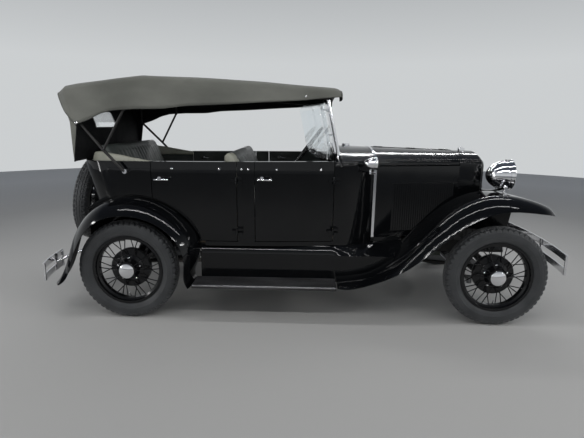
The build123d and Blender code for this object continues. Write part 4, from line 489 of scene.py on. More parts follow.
def hub_cap_test(hub_x):
    """A test for the faces of a wheel's middle cap."""
    def is_hub_cap(x, y, z):
        return abs(y) > TRACK / 2 + HUB_CAP_OUT and math.hypot(x - hub_x, z - TYRE_RADIUS) < HUB_CAP_REACH

    return is_hub_cap


for word, side in SIDES:
    for end, hub_x in (("front", WHEELBASE), ("rear", 0.0)):
        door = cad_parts[f"door_{end}_{word}"]
        finish_faces(door, "chrome", is_handle)
        trim_inner_walls(door)
        finish_faces(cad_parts[f"wheel_{end}_{word}"], "chrome", hub_cap_test(hub_x))
finish_faces(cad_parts["radiator_shell"], "chrome", is_radiator_cap)
finish_faces(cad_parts["cowl"], "chrome", is_fuel_cap)
finish_faces(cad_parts["windshield_frame"], "body_paint", lambda x, y, z: z < SCREEN_FOOT_Z)
finish_faces(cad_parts["tail_lamps"], "ruby_glass", lambda x, y, z: x < RUBY_X)
finish_faces(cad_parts["top_irons"], "chrome", is_iron_ball)
for name in ("body_tub", "body_sides"):
    trim_inner_walls(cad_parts[name])


# Mesh building
def mesh_piece(name, points, faces, material, body):
    """A piece from points in mm and faces, riding on a body."""
    data = bpy.data.meshes.new(name)
    data.from_pydata([place(*p) for p in points], [], faces)
    data.update()
    made = new_object(name, data)
    data.materials.append(MATERIALS[material])
    for face in data.polygons:
        face.use_smooth = True
    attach(made, body)
    return made


def join_meshes(parts):
    """Points and faces of many parts put in one list."""
    points = []
    faces = []
    for more_points, more_faces in parts:
        base = len(points)
        points += more_points
        faces += [tuple(base + i for i in face) for face in more_faces]
    return points, faces


def flipped(faces):
    return [tuple(reversed(face)) for face in faces]


def grid_faces(columns, rows, closed_columns=False, skip=None):
    """Faces of a grid of points, stored row by row."""
    faces = []
    last = columns if closed_columns else columns - 1
    for r in range(rows - 1):
        for c in range(last):
            if skip and skip(c, r):
                continue
            across = (c + 1) % columns
            low = r * columns
            high = low + columns
            faces.append((low + c, low + across, high + across, high + c))
    return faces


def tube_piece(name, line, radius, material, body, closed=False, sides=10):
    """A round bar or bead along a line of points in mm."""
    points = []
    faces = []
    count = len(line)
    places = [Vector(p) for p in line]
    for i, here in enumerate(places):
        before = places[i - 1] if (i or closed) else here
        after = places[(i + 1) % count] if (i < count - 1 or closed) else here
        along = (after - before).normalized()
        up = Vector((0, 0, 1)) if abs(along.z) < 0.9 else Vector((1, 0, 0))
        across = along.cross(up).normalized()
        above = across.cross(along).normalized()
        for k in range(sides):
            turn = 2 * math.pi * k / sides
            points.append(here + radius * (math.cos(turn) * across + math.sin(turn) * above))
    rings = count if closed else count - 1
    for i in range(rings):
        for k in range(sides):
            a = i * sides + k
            b = i * sides + (k + 1) % sides
            c = ((i + 1) % count) * sides + (k + 1) % sides
            d = ((i + 1) % count) * sides + k
            faces.append((a, b, c, d))
    if not closed:
        faces.append(tuple(range(sides - 1, -1, -1)))
        faces.append(tuple(range((count - 1) * sides, count * sides)))
    return mesh_piece(name, points, faces, material, body)


def turned(profile, start, axis, around):
    """Points and faces of a profile of (along, radius) turned about an axis through start."""
    axis = Vector(axis).normalized()
    up = Vector((0, 0, 1)) if abs(axis.z) < 0.9 else Vector((1, 0, 0))
    across = axis.cross(up).normalized()
    above = across.cross(axis).normalized()
    points = []
    for along, radius in profile:
        for k in range(around):
            turn = 2 * math.pi * k / around
            offset = radius * (math.cos(turn) * across + math.sin(turn) * above)
            points.append(Vector(start) + along * axis + offset)
    faces = grid_faces(around, len(profile), True)
    return points, faces


def turned_piece(name, profile, start, axis, material, body, around=32):
    points, faces = turned(profile, start, axis, around)
    return mesh_piece(name, points, faces, material, body)


def turned_group(name, profile, places, material, body, around=16):
    """Many like turned pieces in one mesh; places hold a start and an axis."""
    points, faces = join_meshes([turned(profile, start, axis, around) for start, axis in places])
    return mesh_piece(name, points, faces, material, body)


# The cloth top
CANOPY_STATIONS = (
    # x, height of the side's top, height of the crown, half width
    (-535.0, 1604.0, 1636.0, 590.0),
    (-440.0, 1640.0, 1678.0, 640.0),
    (-183.0, 1673.0, 1718.0, 672.0),
    (150.0, 1712.0, 1752.0, 690.0),
    (688.0, 1694.0, 1736.0, 690.0),
    (1200.0, 1660.0, 1700.0, 672.0),
    (1470.0, 1640.0, 1676.0, 650.0),
    (1505.0, 1622.0, 1654.0, 642.0),
)
# The side falls' lower edge: x, z
DECK_EDGE = (
    (-535.0, 1597.0), (-522.0, 1566.0), (-477.0, 1504.0), (-429.0, 1455.0), (-370.0, 1404.0),
    (-348.0, 1390.0), (-330.0, 1388.0), (-232.0, 1424.0), (-154.0, 1463.0), (-71.0, 1484.0),
    (92.0, 1495.0), (294.0, 1500.0), (427.0, 1517.0), (692.0, 1532.0), (953.0, 1547.0),
    (1266.0, 1567.0), (1394.0, 1580.0), (1505.0, 1588.0),
)
# The curtain's face from below: z, x
CURTAIN_BACK = (
    (1100.0, -391.4), (1199.0, -401.0), (1400.0, -412.0), (1462.0, -438.0), (1524.0, -474.0),
    (1570.0, -500.0), (1606.0, -520.0),
)
# The curtain's front edge beside the quarter: z, x
QUARTER_EDGE = ((1100.0, -388.0), (1388.0, -330.0))
LAST_BOW = -330.0
BOWS = (LAST_BOW, 5.0, 470.0, 960.0, 1437.0)
DECK_BACK = -535.0
DECK_FRONT = 1505.0
FLARE = 12.0
CLOTH_LOW = 1124.0


def side_reach(x, z):
    """How far out the cloth's side stands at a place."""
    side_z, _, half = between(CANOPY_STATIONS, x)
    return half + FLARE * max(0.0, side_z - z) / (side_z - CLOTH_LOW)


CORNER_PULL = 52.0
OVERHANG = 205.0


def pulled(x, y):
    """The cloth's rear corners are drawn forward, so that its rear edge is rounded in plan."""
    half = between(CANOPY_STATIONS, x)[2]
    share = min(1.0, max(0.0, (LAST_BOW - x) / OVERHANG))
    return x + CORNER_PULL * share * smooth_step(0.62 * half, 0.985 * half, abs(y))


BOW_SAG = 5.0


def sag_between_bows(x):
    """How far the cloth hangs down between the bows that carry it."""
    for first, last in zip(BOWS, BOWS[1:]):
        if first <= x <= last:
            share = (x - first) / (last - first)
            return BOW_SAG * math.sin(math.pi * share) ** 2
    return 0.0


def cloth_folds(x, y, z):
    """Soft folds: strongest at the rear corners, where the cloth is gathered over the last bow."""
    at_rear = smooth_step(250.0, -450.0, x)
    low = smooth_step(1690.0, 1560.0, z)
    long_folds = noise.noise(Vector((x * 0.006 + z * 0.008, y * 0.002, z * 0.003 - x * 0.004)))
    short_folds = noise.noise(Vector((x * 0.02, y * 0.006 + 7, z * 0.022)))
    return (1.2 + 5.5 * at_rear * (0.35 + 0.65 * low)) * long_folds + (0.5 + 1.6 * at_rear) * short_folds


SHOULDER_IN = 34.0


def deck_row(x):
    """One line of cloth across the top, from the right lower edge over the roof to the left."""
    side_z, top_z, half = between(CANOPY_STATIONS, x)
    rise = top_z - side_z
    arc = (half**2 + rise**2) / (2 * rise)
    edge_z = min(between(DECK_EDGE, x)[0], side_z - 10.0)
    sag = sag_between_bows(x)
    right = []
    knee_z = max(edge_z + 4.0, side_z - 30.0)
    for k in range(9):
        z = edge_z + (knee_z - edge_z) * k / 8
        right.append((-side_reach(x, z), z))
    shoulder_y = half - SHOULDER_IN
    shoulder_z = top_z - arc + math.sqrt(arc**2 - shoulder_y**2)
    start = right[-1]
    for k in range(1, 7):
        t = k / 7
        y = (1 - t) ** 2 * start[0] - 2 * t * (1 - t) * half - t * t * shoulder_y
        z = (1 - t) ** 2 * knee_z + 2 * t * (1 - t) * side_z + t * t * shoulder_z
        right.append((y, z))
    for k in range(22):
        y = -shoulder_y + shoulder_y * k / 22
        right.append((y, top_z - arc + math.sqrt(arc**2 - y**2)))
    line = right + [(0.0, top_z)] + [(-y, z) for y, z in reversed(right)]
    out = []
    for y, z in line:
        inward = 1 - min(1.0, abs(y) / half) ** 2
        fold = cloth_folds(x, y, z)
        push = fold if abs(y) > half - 6 else 0.35 * fold
        side = -1 if y < 0 else 1
        outward = smooth_step(half - 60, half, abs(y))
        lift = (1 - outward) * push - sag * (0.35 + 0.65 * inward)
        out.append((pulled(x, y), y + side * outward * push, z + lift))
    return out


def deck_stations():
    """Where the lines of cloth lie along the car, closer at its ends."""
    stations = [DECK_BACK + 12.5 * i for i in range(20)]
    stations += [-285.0 + 23.5 * i for i in range(70)]
    stations += [1370.0 + 13.5 * i for i in range(11)]
    return sorted(set(round(x, 2) for x in stations if x <= DECK_FRONT))


# The cloth rolls over the header: how far forward, how much narrower, how far down
NOSE_ROLL = (
    (5.0, 0.998, 3.0), (8.0, 0.994, 10.0), (7.0, 0.99, 19.0), (0.0, 0.985, 27.0),
    (-14.0, 0.98, 31.0),
)
# The tuck behind the last bow: the same three
BACK_TUCK = (12.0, 0.985, 16.0)


def rolled(line, forward, narrow, down):
    """A line of cloth moved on round an edge."""
    return [(x + forward, y * narrow, z - down) for x, y, z in line]


def top_deck():
    """The cloth over the bows with its side falls, from the header to the last bow."""
    stations = deck_stations()
    rows = [deck_row(x) for x in stations]
    last = rows[-1]
    rows.insert(0, rolled(rows[0], *BACK_TUCK))
    rows += [rolled(last, *step) for step in NOSE_ROLL]
    points = [p for row in rows for p in row]
    faces = flipped(grid_faces(len(last), len(rows)))
    made = mesh_piece("top_deck", points, faces, "canvas", "car")
    finish_cloth(made)
    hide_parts("top_canopy")
    return made, rows


CLOTH = 0.0018


def finish_cloth(made):
    """Cloth thickness with the lining on its inner face."""
    made.data.materials.append(MATERIALS["lining"])
    shell = made.modifiers.new("cloth", "SOLIDIFY")
    shell.thickness = CLOTH
    shell.offset = -1.0
    shell.material_offset = 1


# The seam's place in a line of the deck, counted from either edge
SHOULDER_COLUMN = 15
WINDOW_HALF = 200.0
WINDOW_LOW = 1357.0
WINDOW_HIGH = 1489.0
WINDOW_MIDDLE = (WINDOW_HIGH + WINDOW_LOW) / 2
CURTAIN_CORNER = 24.0
QUARTER_TOP = 1388.0


def curtain_fold(y, z):
    """Soft folds of the curtain, long ones and short ones."""
    long_fold = noise.noise(Vector((y * 0.011, 3.0, z * 0.0035)))
    short_fold = noise.noise(Vector((y * 0.03, 9.0, z * 0.02)))
    return 3.4 * long_fold + 1.2 * short_fold


def curtain_row(z):
    """One level line of the rear curtain: from the right quarter round the back to the left."""
    back = between(CURTAIN_BACK, z)[0]
    front = between(QUARTER_EDGE, z)[0] if z < QUARTER_TOP else back + 62.0
    radius = CURTAIN_CORNER
    corner_y = side_reach(back + radius, z) - 2.0
    right = []
    for k in range(6):
        x = front + (back + radius - front) * k / 5
        right.append((x, -(side_reach(x, z) - 2.0)))
    for k in range(1, 6):
        turn = math.pi / 2 * k / 6
        y = corner_y - radius + radius * math.cos(turn)
        right.append((back + radius - radius * math.sin(turn), -y))
    flat = corner_y - radius
    for k in range(14):
        right.append((back, -(flat - (flat - WINDOW_HALF) * k / 13)))
    for k in range(1, 9):
        right.append((back, -WINDOW_HALF * (1 - k / 9)))
    line = right + [(back, 0.0)] + [(x, -y) for x, y in reversed(right)]
    out = []
    for x, y in line:
        off_window = max(abs(y) - WINDOW_HALF, abs(z - WINDOW_MIDDLE) - (WINDOW_HIGH - WINDOW_MIDDLE), 0.0)
        away = min(1.0, off_window / 60.0)
        out.append((pulled(x, y) + (1.2 + curtain_fold(y, z) * away if abs(y) < flat else 0.0), y, z))
    return out


def height_over(line, y):
    """How high a line across the cloth stands at a distance from the middle."""
    best = 0.0
    for (_, y0, z0), (_, y1, z1) in zip(line, line[1:]):
        if min(y0, y1) <= y <= max(y0, y1) and y0 != y1:
            best = max(best, z0 + (z1 - z0) * (y - y0) / (y1 - y0))
    return best


TOP_TUCK = 7.0
TUCK_BACK = 9.0


def curtain_top(below):
    """The curtain's top lines, which rise into the fold of the deck's rear edge."""
    edge = deck_row(DECK_BACK)
    rows = []
    for share in (0.5, 1.0):
        row = []
        for x, y, z in below:
            rise = max(0.5, height_over(edge, y) - TOP_TUCK - z)
            row.append((x - TUCK_BACK * share if rise > 2.0 else x, y, z + rise * share))
        rows.append(row)
    return rows


def rear_curtain():
    """The cloth that closes the back, round both corners, with the window's opening."""
    levels = [1126.0 + 16.5 * i for i in range(14)] + [WINDOW_LOW + 16.5 * i for i in range(9)]
    levels += [1505.0 + 15.0 * i for i in range(7)]
    rows = [curtain_row(z) for z in levels]
    rows += curtain_top(rows[-1])
    columns = len(rows[0])

    def in_window(c, r):
        y = (rows[r][c][1] + rows[r][c + 1][1]) / 2
        z = (rows[r][c][2] + rows[r + 1][c][2]) / 2
        return abs(y) < WINDOW_HALF and WINDOW_LOW < z < WINDOW_HIGH

    points = [p for row in rows for p in row]
    faces = flipped(grid_faces(columns, len(rows), False, in_window))
    made = mesh_piece("rear_curtain", points, faces, "canvas", "car")
    finish_cloth(made)
    return made, rows


def length_of(line):
    """The length along a line of points."""
    return sum((Vector(b) - Vector(a)).length for a, b in zip(line, line[1:]))


def edge_beads(deck_rows, curtain_rows):
    """Bindings sewn along the cloth's free edges, and seams along the deck's shoulders."""
    beads = []
    for word, column in (("right", 0), ("left", -1)):
        line = [row[column] for row in deck_rows[1:-len(NOSE_ROLL)]]
        beads.append(tube_piece(f"deck_binding_{word}", line, 2.6, "canvas_seam_painted_shade", "car"))
        line = [row[column] for row in curtain_rows if row[0][2] < QUARTER_TOP + 4]
        beads.append(tube_piece(f"quarter_binding_{word}", line, 3.2, "lining", "car"))
    front = deck_rows[-1 - len(NOSE_ROLL)]
    beads.append(tube_piece("front_binding", front, 3.4, "canvas_seam_painted_shade", "car"))
    for word, column in (("right", SHOULDER_COLUMN), ("left", -1 - SHOULDER_COLUMN)):
        line = [row[column] for row in deck_rows[1:-len(NOSE_ROLL)]]
        beads.append(tube_piece(f"deck_seam_{word}", line, 2.0, "canvas_seam_painted_shade", "car", sides=6))
    return beads


def window_rim():
    """The bound rim round the rear window."""
    corners = []
    radius = 18.0
    straight = WINDOW_HIGH - WINDOW_MIDDLE - radius
    for cy, cz, start in ((1, 1, 0), (-1, 1, 90), (-1, -1, 180), (1, -1, 270)):
        for k in range(5):
            turn = math.radians(start + 22.5 * k)
            y = cy * (WINDOW_HALF - radius) + radius * math.cos(turn)
            z = WINDOW_MIDDLE + cz * straight + radius * math.sin(turn)
            corners.append((between(CURTAIN_BACK, z)[0] + 2.0, y, z))
    return tube_piece("window_rim", corners, 5.5, "frame_paint", "car", closed=True)


def declare_cloth():
    """Both sheets, the beads that go with them and the rear window's rim; the sheets' flat sizes in metres
    and their areas are worked out, and nothing uses them.
    """
    deck, deck_rows = top_deck()
    curtain, curtain_rows = rear_curtain()
    beads = edge_beads(deck_rows, curtain_rows)
    middle = len(deck_rows[0]) // 2
    deck_length = length_of([row[middle] for row in deck_rows]) / 1000
    deck_width = max(length_of(row) for row in deck_rows) / 1000
    round(sheet_area(deck), 3)
    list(beads[4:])
    curtain_length = length_of([row[0] for row in curtain_rows]) / 1000
    curtain_width = max(length_of(row) for row in curtain_rows) / 1000
    round(sheet_area(curtain), 3)
    window_rim()


def sheet_area(made):
    """A sheet's area in square metres."""
    return sum(face.area for face in made.data.polygons)


declare_cloth()


# Seats
SEAT_BACKS = (
    # name, foot x, foot z, head x, head z, half width, thickness
    ("front_seat_back", 842.0, 842.2, 703.0, 1192.0, 575.0, 125.0),
    ("rear_seat_back", -64.8, 856.8, -215.0, 1240.0, 545.0, 130.0),
)
SEAT_CUSHIONS = (
    # name, back x, front x, half width, low z, high z
    ("front_seat_cushion", 800.0, 1235.0, 560.0, 700.0, 835.0),
    ("rear_seat_cushion", -80.0, 440.0, 540.0, 700.3, 860.0),
)
PLEAT = 62.0
SIDE_PANEL = 62.0
# Plain rolls before and after the channels
BACK_ROLLS = (30.0, 62.0)
CUSHION_ROLLS = (16.0, 60.0)


def pleats(u, v, length, rolls):
    """How far the sewn channels stand out at a place of a seat's face, u across and v along them."""
    into = min(v - rolls[0], length - rolls[1] - v)
    inside = smooth_step(-8.0, 10.0, into)
    phase = (u / PLEAT) % 1.0
    groove = math.exp(-((min(phase, 1 - phase) * PLEAT / 5.0) ** 2))
    swell = math.sin(math.pi * phase) ** 0.6
    return inside * (3.5 * swell - 6.5 * groove) - 5.0 * math.exp(-((into / 6.0) ** 2))


def pillow(name, across, along, thick, to_place, rolls):
    """A stuffed seat part: crowned, channelled face, sides that draw in between corners, plain back."""
    columns = 2 * int(across / PLEAT * 5)
    rows = max(12, int(along / 12))
    points = []

    def surface(u, v, front):
        edge_u = min(1.0, abs(u) / across)
        edge_v = min(1.0, abs(2 * v / along - 1))
        round_off = (1 - edge_u**9) ** 0.4 * (1 - edge_v**7) ** 0.42
        draw = 5.0 * (1 - edge_v**2) * edge_u**6
        crown = 7.0 * (1 - edge_u**2) * (1 - edge_v**2)
        w = thick / 2 * round_off
        if front:
            w += (crown + pleats(u, v, along, rolls)) * round_off
            w -= 6.0 * round_off
        side = -1 if u < 0 else 1
        return to_place(u - side * draw, v, w if front else -w)

    for front in (True, False):
        for r in range(rows + 1):
            v = along * 0.5 * (1 - math.cos(math.pi * r / rows)) * 0.35 + along * (r / rows) * 0.65
            for c in range(columns + 1):
                s = c / columns
                u = across * (2 * (0.35 * 0.5 * (1 - math.cos(math.pi * s)) + 0.65 * s) - 1)
                points.append(surface(u, v, front))
    sheet_points = (rows + 1) * (columns + 1)
    faces = grid_faces(columns + 1, rows + 1)
    back = [tuple(sheet_points + i for i in reversed(face)) for face in faces]
    made = mesh_piece(name, points, faces + back, "seat_leather", "car")
    weld = made.modifiers.new("weld", "WELD")
    weld.merge_threshold = 0.0008
    if name == "front_seat_back":
        made.data.materials.append(MATERIALS["pale_hide"])
        for face in made.data.polygons:
            on_side = abs(face.center.y) * 1000 > across - SIDE_PANEL
            if face.index >= len(faces) or on_side:
                face.material_index = 1
    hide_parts(name)
    made.name = name + "_pad"


def seat_back(name, foot_x, foot_z, head_x, head_z, half, thick):
    along = Vector((head_x - foot_x, 0, head_z - foot_z))
    up = along.normalized()
    out = Vector((up.z, 0, -up.x))

    def to_place(u, v, w):
        return Vector((foot_x, u, foot_z)) + up * v + out * w

    pillow(name, half, along.length, thick, to_place, BACK_ROLLS)


def seat_cushion(name, back_x, front_x, half, low_z, high_z):
    length = front_x - back_x
    middle_z = (low_z + high_z) / 2

    def to_place(u, v, w):
        return Vector((back_x + v, u, middle_z + w))

    pillow(name, half, length, high_z - low_z, to_place, CUSHION_ROLLS)


for row in SEAT_BACKS:
    seat_back(*row)
for row in SEAT_CUSHIONS:
    seat_cushion(*row)


# Padded tops of the body's sides beside the rear seat: x, height of the pad's crest
QUARTER_PAD = (
    (-286.0, 1150.0), (-272.0, 1190.0), (-230.0, 1197.0), (-60.0, 1172.0), (80.0, 1146.0),
    (176.0, 1131.0),
)
QUARTER_PAD_FOOT = 1100.0
QUARTER_PAD_ROUND = 14
QUARTER_PAD_IN = 17.0
QUARTER_PAD_HALF = 15.0


def quarter_pad(word, side):
    """A stuffed roll that tops the inner wall beside the rear seat and falls away towards the door."""
    points = []
    first_x = QUARTER_PAD[0][0]
    last_x = QUARTER_PAD[-1][0]
    stations = 40
    for i in range(stations + 1):
        x = first_x + (last_x - first_x) * i / stations
        crest = between(QUARTER_PAD, x)[0]
        end = min(1.0, 8.0 * min(i, stations - i) / stations + 0.25)
        middle = body_half(x) - WALL - QUARTER_PAD_IN
        wide = QUARTER_PAD_HALF * end
        half_height = (crest - QUARTER_PAD_FOOT) / 2
        for k in range(QUARTER_PAD_ROUND):
            turn = 2 * math.pi * k / QUARTER_PAD_ROUND
            y = middle + wide * math.cos(turn)
            rise = math.copysign(abs(math.sin(turn)) ** 0.6, math.sin(turn))
            z = QUARTER_PAD_FOOT + half_height + half_height * rise
            pucker = 1.6 * math.sin(x / 9.0) * max(0.0, math.cos(turn))
            points.append((x, side * (y + pucker), z))
    faces = grid_faces(QUARTER_PAD_ROUND, stations + 1, True)
    faces.append(tuple(range(QUARTER_PAD_ROUND - 1, -1, -1)))
    faces.append(tuple(range(stations * QUARTER_PAD_ROUND, (stations + 1) * QUARTER_PAD_ROUND)))
    made = mesh_piece(f"quarter_pad_{word}", points, faces, "pale_hide", "car")
    soft = made.modifiers.new("soft", "SUBSURF")
    soft.levels = 1
    soft.render_levels = 1


for word, side in SIDES:
    quarter_pad(word, side)


# Bright trim
STUD = ((-3.0, 8.5), (1.0, 9.0), (3.0, 8.6), (5.5, 6.6), (7.0, 3.4), (7.4, 0.02))
SIDE_STUD_Z = 1088.0
SIDE_STUDS = (
    # x, body that carries the stud
    (323.0, "door_rear"),
    (661.0, "door_rear"),
    (818.0, "car"),
    (866.0, "car"),
    (1065.0, "door_front"),
    (1377.0, "door_front"),
)
TOP_STUD = (1262.0, 1588.0)


def curtain_studs(word, side):
    """Snap studs for the side curtains, on the belt of each body that they ride on."""
    for body in ("car", "door_rear", "door_front"):
        places = []
        for x, carrier in SIDE_STUDS:
            if carrier == body:
                places.append(((x, side * body_half(x), SIDE_STUD_Z), (0, side, 0)))
        ride = body if body == "car" else f"{body}_{word}"
        turned_group(f"curtain_studs_{body}_{word}", STUD, places, "chrome", ride, around=20)
    x, z = TOP_STUD
    start = (x, side * side_reach(x, z), z)
    turned_piece(f"top_stud_{word}", STUD, start, (0, side, 0), "chrome", "car", around=20)


IRON_BUTTON_AT = (-332.0, 1396.0)
IRON_BUTTON = ((-4.0, 11.0), (2.0, 12.0), (6.0, 11.0), (9.5, 7.0), (11.0, 0.02))


def iron_button(word, side):
    """The bright button where the top's iron fastens through the cloth."""
    x, z = IRON_BUTTON_AT
    start = (x, side * (side_reach(x, z) + 1.0), z)
    turned_piece(f"iron_button_{word}", IRON_BUTTON, start, (0, side, 0), "chrome", "car", around=24)


# The board's edge: back x, front x, y, top z
BOARD_EDGE = (484.0, 1492.0, 838.0, 288.0)
# Its section: out, up
BOARD_SECTION = (
    (0.0, -9.0), (1.6, -8.0), (2.4, -5.0), (2.2, -1.0), (0.0, 1.2), (-4.0, 2.0), (-9.0, 1.0),
    (-9.0, -1.0),
)


def board_edge(word, side):
    """The steel moulding along the running board's outer edge."""
    first_x, last_x, edge_y, top_z = BOARD_EDGE
    points = []
    stations = (0.0, 0.004, 0.5, 0.996, 1.0)
    for share in stations:
        x = first_x + (last_x - first_x) * share
        lift = 0.4 if share in (0.0, 1.0) else 1.0
        for out, up in BOARD_SECTION:
            points.append((x, side * (edge_y + out * lift), top_z + up * (lift if up > 0 else 1.0)))
    faces = grid_faces(len(BOARD_SECTION), len(stations), True)
    mesh_piece(f"board_edge_{word}", points, faces if side > 0 else flipped(faces), "steel", "car")


ROSE = ((-1.0, 17.0), (3.0, 17.0), (6.0, 13.0), (9.0, 6.5), (22.0, 6.0), (24.0, 0.02))
LEVER = (
    # forward, off the wall, down
    (0, 19.0, 0),
    (30, 22.0, 3),
    (62, 21.0, 8),
)


def inner_handle(word, side, end, x, z):
    """A small lever on a round rose, inside a door."""
    wall = side * (body_half(x) - WALL)
    lever = [(x + forward, wall - side * off, z - down) for forward, off, down in LEVER]
    ride = f"door_{end}_{word}"
    turned_piece(f"inner_rose_{end}_{word}", ROSE, (x, wall, z), (0, -side, 0), "chrome", ride, around=24)
    tube_piece(f"inner_lever_{end}_{word}", lever, 5.0, "chrome", ride)


BOLT = ((-2.0, 10.0), (3.0, 10.0), (6.0, 8.6), (9.0, 5.0), (10.0, 0.02))
BUMPER_BOLT_Y = 335.3
BUMPER_BOLT_X = 3136.0
BUMPER_ZS = (428.0, 523.0)


def bumper_bolts():
    """Domed bolt heads where the bumper's bars are clamped to their irons."""
    places = []
    for side in (RIGHT, LEFT):
        for z in BUMPER_ZS:
            places.append(((BUMPER_BOLT_X, side * BUMPER_BOLT_Y, z), (1, 0, 0)))
    turned_group("bumper_bolts", BOLT, places, "chrome", "car", around=20)


HEADLAMP = (2792.0, 392.0, 1047.0)
HEADLAMP_RIM = (
    (-2.0, 114.5), (2.0, 116.0), (6.5, 115.5), (9.0, 112.5), (9.5, 108.5), (7.5, 106.0),
    (3.0, 105.5),
)
COWL_LAMP = (1771.0, 585.0, 1134.0)
COWL_LAMP_RIM = ((-1.0, 45.4), (2.0, 46.2), (4.6, 45.4), (5.6, 43.0), (4.6, 41.0), (1.0, 40.6))
LAMP_RIMS = (("headlamp_rims", HEADLAMP_RIM, HEADLAMP), ("cowl_lamp_rims", COWL_LAMP_RIM, COWL_LAMP))


def lamp_rims():
    """Rolled bright rims that hold the lamps' glasses."""
    for name, profile, (x, y, z) in LAMP_RIMS:
        places = [((x, side * y, z), (1, 0, 0)) for side in (RIGHT, LEFT)]
        turned_group(name, profile, places, "chrome", "car", around=64)


# The dash plate: x, middle y, middle z, half width, half height
GAUGE_PLATE = (1474.5, 0.0, 1165.0, 128.0, 52.0)
# Its dials: y, radius
GAUGES = ((0.0, 40.0), (-78.0, 24.0), (78.0, 24.0))
# The plate's rings: forward of the dash, share of its size
PLATE_RINGS = (
    (0.0, 1.0), (-3.0, 1.0), (-5.0, 0.97), (-5.0, 0.9), (-3.5, 0.88), (-3.5, 0.5), (-3.5, 0.01),
)


def gauge(i, x, y, z, radius):
    """One dial with its bezel, ticks and hand."""
    start = (x - 3.4, y, z)
    bezel = (
        (0.0, radius + 3),
        (4.0, radius + 3),
        (6.0, radius + 1),
        (6.0, radius - 1),
        (2.6, radius - 2.5),
    )
    turned_piece(f"gauge_bezel_{i}", bezel, start, (-1, 0, 0), "chrome", "car", around=40)
    dial = ((2.0, radius - 1), (2.0, radius * 0.5), (2.0, 0.02))
    turned_piece(f"gauge_dial_{i}", dial, start, (-1, 0, 0), "dial_face", "car", around=40)
    ticks = []
    for k in range(17):
        turn = math.radians(-210 + 15 * k)
        away = radius * 0.84
        at = Vector((x - 6.0, y + away * math.cos(turn), z - away * math.sin(turn)))
        ticks.append(turned(((0.0, 0.9), (0.5, 0.02)), at, (-1, 0, 0), 8))
    points, faces = join_meshes(ticks)
    mesh_piece(f"gauge_ticks_{i}", points, faces, "frame_paint", "car")
    hand = [(x - 6.2, y, z), (x - 6.2, y - radius * 0.45, z + radius * 0.45)]
    tube_piece(f"gauge_hand_{i}", hand, 0.9, "frame_paint", "car", sides=6)


def gauge_plate():
    """An oval bright plate on the dash with a large dial between two small ones."""
    x, middle_y, middle_z, half_y, half_z = GAUGE_PLATE
    around = 64
    points = []
    for out, share in PLATE_RINGS:
        for k in range(around):
            turn = 2 * math.pi * k / around
            y = middle_y + share * half_y * math.copysign(abs(math.cos(turn)) ** 0.75, math.cos(turn))
            z = middle_z + share * half_z * math.copysign(abs(math.sin(turn)) ** 0.9, math.sin(turn))
            points.append((x + out, y, z))
    faces = flipped(grid_faces(around, len(PLATE_RINGS), True))
    mesh_piece("gauge_plate", points, faces, "steel", "car")
    for i, (y, radius) in enumerate(GAUGES):
        gauge(i, x, y, middle_z, radius)


for word, side in SIDES:
    curtain_studs(word, side)
    iron_button(word, side)
    board_edge(word, side)
    inner_handle(word, side, "front", 1010.0, 1082.0)
    inner_handle(word, side, "rear", 262.0, 1075.0)
bumper_bolts()
lamp_rims()
gauge_plate()


# Tyres
# Half the section from the bead to the middle: y, radius
TYRE_PROFILE = (
    (37.0, 241.6), (39.0, 248.0), (40.0, 255.0), (44.0, 257.0), (47.0, 262.0), (51.0, 270.0),
    (55.0, 280.0), (57.4, 288.0), (59.4, 291.0), (58.6, 294.0), (60.2, 301.0), (60.4, 308.0),
    (59.8, 316.0), (58.2, 323.0), (59.0, 326.0), (57.0, 329.0), (55.4, 333.0), (54.0, 338.0),
    (52.0, 343.0), (49.0, 348.0), (45.0, 351.5), (40.0, 354.0), (36.0, 355.6), (33.0, 356.6),
    (30.0, 357.5), (27.0, 358.3), (24.0, 359.0), (20.0, 359.6), (16.0, 360.1), (13.0, 360.4),
    (10.0, 360.6), (7.0, 360.8), (3.5, 360.95), (0.0, 361.0),
)
# How much of the tread pattern shows from a radius outwards
TREAD_SHARE = ((333.0, 0.15), (338.0, 0.6), (343.0, 1.0))
BLOCKS = 54
STEPS_PER_BLOCK = 6


def tread_depth(y, step):
    """How deep the tread is cut at a place: shoulder blocks, two zigzag grooves and a middle rib."""
    phase = (step / STEPS_PER_BLOCK) % 1.0
    if y < 0:
        phase = (phase + 0.5) % 1.0
    away = abs(y)
    zigzag = 4.0 * (1 - abs(2 * phase - 1))
    if 26.0 + zigzag < away < 31.0 + zigzag:
        return 6.0
    if 9.5 + zigzag < away < 12.5 + zigzag:
        return 5.0
    if away >= 31.0 + zigzag and phase < 0.3:
        return 7.5
    if 12.5 + zigzag <= away <= 26.0 + zigzag and 0.45 < phase < 0.6:
        return 4.0
    return 0.0


def tread_share(radius):
    """How much of the tread is cut at a radius: none on the wall, all of it on the crown."""
    shown = 0.0
    for from_radius, share in TREAD_SHARE:
        if radius >= from_radius:
            shown = share
    return shown


def tyre_mesh():
    """A road tyre about the y axis: ribbed wall and block tread."""
    half = [(y, radius, tread_share(radius)) for y, radius in TYRE_PROFILE]
    profile = half + [(-y, r, share) for y, r, share in reversed(half[:-1])]
    around = BLOCKS * STEPS_PER_BLOCK
    points = []
    for y, radius, share in profile:
        for step in range(around):
            turn = 2 * math.pi * step / around
            r = radius - share * tread_depth(y, step)
            points.append((r * math.cos(turn) / 1000, y / 1000, r * math.sin(turn) / 1000))
    faces = flipped(grid_faces(around, len(profile), True))
    data = bpy.data.meshes.new("road_tyre")
    data.from_pydata(points, [], faces)
    data.materials.append(MATERIALS["tyre_rubber"])
    for row in range(len(profile) - 1):
        on_wall = profile[row][2] == 0 and profile[row + 1][2] == 0
        for step in range(around):
            data.polygons[row * around + step].use_smooth = on_wall
    return data


